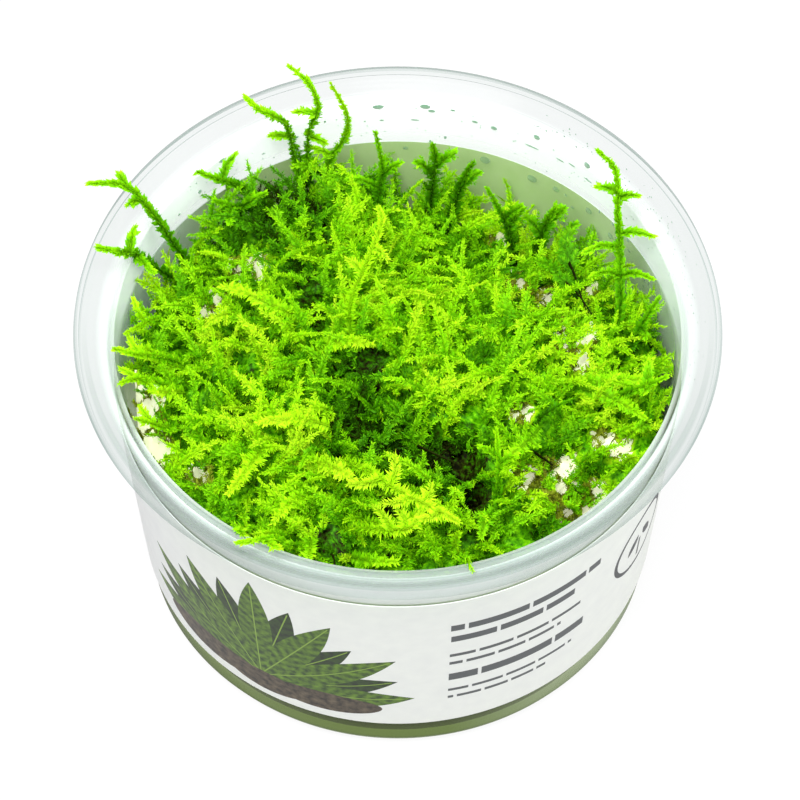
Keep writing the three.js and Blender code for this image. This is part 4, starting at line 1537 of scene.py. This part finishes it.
class MOSS_CUP_OT_shoots(bpy.types.Operator):
    """Grow the shoots that stand out of the mat"""

    bl_idname = "moss_cup.shoots"
    bl_label = "Shoots"

    def execute(self, context):
        leaf = context.scene.moss_cup_moss.leaf / MM
        material = bpy.data.materials.get("christmas_moss") or moss_leaf()
        for number, (name, (points, sides, tone)) in enumerate(SHOOTS.items()):
            rng = np.random.default_rng(SEED + 1 + number)
            stem = curve_through(points, 16)
            branches = []
            for share, tip in sides:
                start, heading = follow(stem[None], np.array([0]), np.array([share]))
                reach = np.linalg.norm(np.array(tip) - start[0])
                knee = start[0] + (np.array(tip) - start[0]) * 0.5 + heading[0] * reach * 0.12
                branches.append(curve_through([start[0], knee, tip], 8))
            # The stem, then its side branches: leaf length, thickness, palette places at both ends
            parts = []
            scale, spread, wide, twig = HABITS.get(name, PLAIN_HABIT)
            for paths, size, thick, ends in (
                (stem[None], scale * leaf, 0.42, (tone - 0.28, tone + 0.08)),
                (np.array(branches), scale * leaf * 0.92, 0.3, (tone - 0.12, tone + 0.1)),
            ):
                across = facing_eye(paths)
                shades = np.tile(ends, (len(paths), 1))
                parts.append(grow_stems(paths, across, np.full(len(paths), thick), shades - 0.06, 3))
                sizes = np.full(len(paths), size)
                parts.append(
                    grow_leaves(paths, across, sizes, shades, 14.0, rng, 4, spread, wide)
                )
                longest = np.full(len(paths), twig)
                twigs, twig_sides, tones = grow_branches(paths, across, longest, shades, 1.6, rng)
                small = np.full(len(twigs), leaf * 0.75)
                parts.append(
                    grow_leaves(twigs, twig_sides, small, tones, 6.0, rng, 3, spread, wide)
                )
            points, faces, uv = joined(*parts)
            uv = np.column_stack([on_palette(uv[:, 0]), uv[:, 1]])
            piece = mesh_object("leafy_shoot_" + name, *held_in_cup((points, faces, uv)))
            piece.data.materials.append(material)
            slot = "young_moss_leaf" if name in YOUNG else "moss_leaf"
            finish(piece, "leafy_shoot_" + name, slot, "shoot_" + name)
        return {"FINISHED"}


class MOSS_CUP_OT_drops(bpy.types.Operator):
    """Leave drops of condensation on the inside of the wall"""

    bl_idname = "moss_cup.drops"
    bl_label = "Condensation"

    def execute(self, context):
        rng = np.random.default_rng(SEED + 60)
        deselect()
        # One round drop is the start of all: flattened against the wall, each to its own size.
        bpy.ops.mesh.primitive_ico_sphere_add(subdivisions=2, radius=1)
        drop = context.object
        shape = np.array([vertex.co[:] for vertex in drop.data.vertices])
        faces = np.array([polygon.vertices[:] for polygon in drop.data.polygons])
        bpy.data.objects.remove(drop)
        spots = list(DROPS)
        for count, turns, heights, sizes in SPRAYS:
            for _ in range(count):
                spots.append((rng.uniform(*turns), rng.uniform(*heights), *rng.uniform(*sizes, 2)))
        for _ in range(FLANGE_FLECKS):
            height = MOUTH_HEIGHT + 0.1 + abs(rng.normal(0, 0.7))
            height = min(height, FLANGE_TOP - 0.1)
            spots.append((rng.uniform(-15, 62), height, *rng.uniform(0.12, 0.35, 2)))
        parts = []
        for angle, height, width, depth in spots:
            angle = math.radians(angle)
            radius = inner_wall(height) - 0.02
            # Above the mouth the drops lie on the dished flange.
            if height > MOUTH_HEIGHT:
                climb = (height - MOUTH_HEIGHT) / (FLANGE_TOP - MOUTH_HEIGHT)
                radius = FLANGE_INNER + (FLANGE_OUTER - FLANGE_INNER) * climb
            out = np.array([math.cos(angle), math.sin(angle), 0])
            around = np.array([-math.sin(angle), math.cos(angle), 0])
            up = unit(np.array([0, 0, 1]) + out * WALL_LEAN)
            centre = out * radius + np.array([0, 0, height])
            thin = 0.16 * min(width, depth) + 0.03
            points = (
                centre
                + shape[:, :1] * around * width / 2
                + shape[:, 1:2] * up * depth / 2
                - np.abs(shape[:, 2:]) * out * thin
            )
            parts.append((points, faces, np.full((len(points), 2), 0.5)))
        piece = mesh_object("condensation", *joined(*parts))
        piece.data.shade_smooth()
        piece.data.materials.append(water())
        finish(piece, "condensation", "clear_plastic")
        return {"FINISHED"}


class MOSS_CUP_OT_stage(bpy.types.Operator):
    """Set the floor, the soft studio light and the camera"""

    bl_idname = "moss_cup.stage"
    bl_label = "Stage"

    def execute(self, context):
        settings = context.scene.moss_cup_stage
        deselect()
        # The floor lies just under the foot.
        bpy.ops.mesh.primitive_plane_add(size=3.0, location=(0, 0, -0.2 * MM))
        floor = context.object
        floor.name = "floor"
        floor.data.materials.append(paper_floor())
        world = bpy.data.worlds.new("studio")
        world.use_nodes = True
        sky = world.node_tree.nodes["Background"]
        sky.inputs["Color"].default_value = (1, 1, 1, 1)
        sky.inputs["Strength"].default_value = SKY_STRENGTH
        context.scene.world = world
        context.scene.view_settings.view_transform = "Standard"
        for name, place, size, power in LIGHTS:
            bpy.ops.object.light_add(type="AREA", location=place)
            light = context.object
            light.name = name
            light.data.size = size
            light.data.energy = power
            # Each light looks at the cup, 40 mm above the table.
            from_cup = Vector(place) - Vector((0, 0, 40 * MM))
            light.rotation_euler = from_cup.to_track_quat("Z", "Y").to_euler()
        bpy.ops.object.camera_add(
            location=Vector(eye_place(settings)) * MM, rotation=(math.pi / 2 - settings.elevation, 0, 0)
        )
        camera = context.object
        camera.data.lens = settings.lens
        camera.data.sensor_width = 36
        camera.data.sensor_fit = "HORIZONTAL"
        camera.data.clip_start = 0.05
        camera.data.clip_end = 10
        context.scene.camera = camera
        return {"FINISHED"}


STEPS = (
    MOSS_CUP_OT_stage,
    MOSS_CUP_OT_cup,
    MOSS_CUP_OT_label,
    MOSS_CUP_OT_gel,
    MOSS_CUP_OT_mat,
    MOSS_CUP_OT_shoots,
    MOSS_CUP_OT_drops,
)
SETTINGS = {
    "moss_cup_cup": CupSettings,
    "moss_cup_label": LabelSettings,
    "moss_cup_gel": GelSettings,
    "moss_cup_moss": MossSettings,
    "moss_cup_stage": StageSettings,
}


class MOSS_CUP_PT_panel(bpy.types.Panel):
    """The cup's settings, and a button for each step"""

    bl_label = "Moss cup"
    bl_space_type = "VIEW_3D"
    bl_region_type = "UI"
    bl_category = "Moss cup"

    def draw(self, context):
        for name, group in SETTINGS.items():
            settings = getattr(context.scene, name)
            for key in group.__annotations__:
                self.layout.prop(settings, key)
        for step in STEPS:
            self.layout.operator(step.bl_idname)


def register():
    """Registers the settings, the operators and the panel."""
    for name, group in SETTINGS.items():
        bpy.utils.register_class(group)
        setattr(bpy.types.Scene, name, bpy.props.PointerProperty(type=group))
    for step in STEPS:
        bpy.utils.register_class(step)
    bpy.utils.register_class(MOSS_CUP_PT_panel)


def unregister():
    """Takes everything out again."""
    bpy.utils.unregister_class(MOSS_CUP_PT_panel)
    for step in reversed(STEPS):
        bpy.utils.unregister_class(step)
    for name, group in SETTINGS.items():
        delattr(bpy.types.Scene, name)
        bpy.utils.unregister_class(group)


def main():
    """Builds the whole scene."""
    register()
    bpy.ops.moss_cup.stage()
    bpy.ops.moss_cup.cup()
    bpy.ops.moss_cup.label()
    bpy.ops.moss_cup.gel()
    bpy.ops.moss_cup.mat()
    bpy.ops.moss_cup.shoots()
    bpy.ops.moss_cup.drops()


if __name__ == "__main__":
    main()
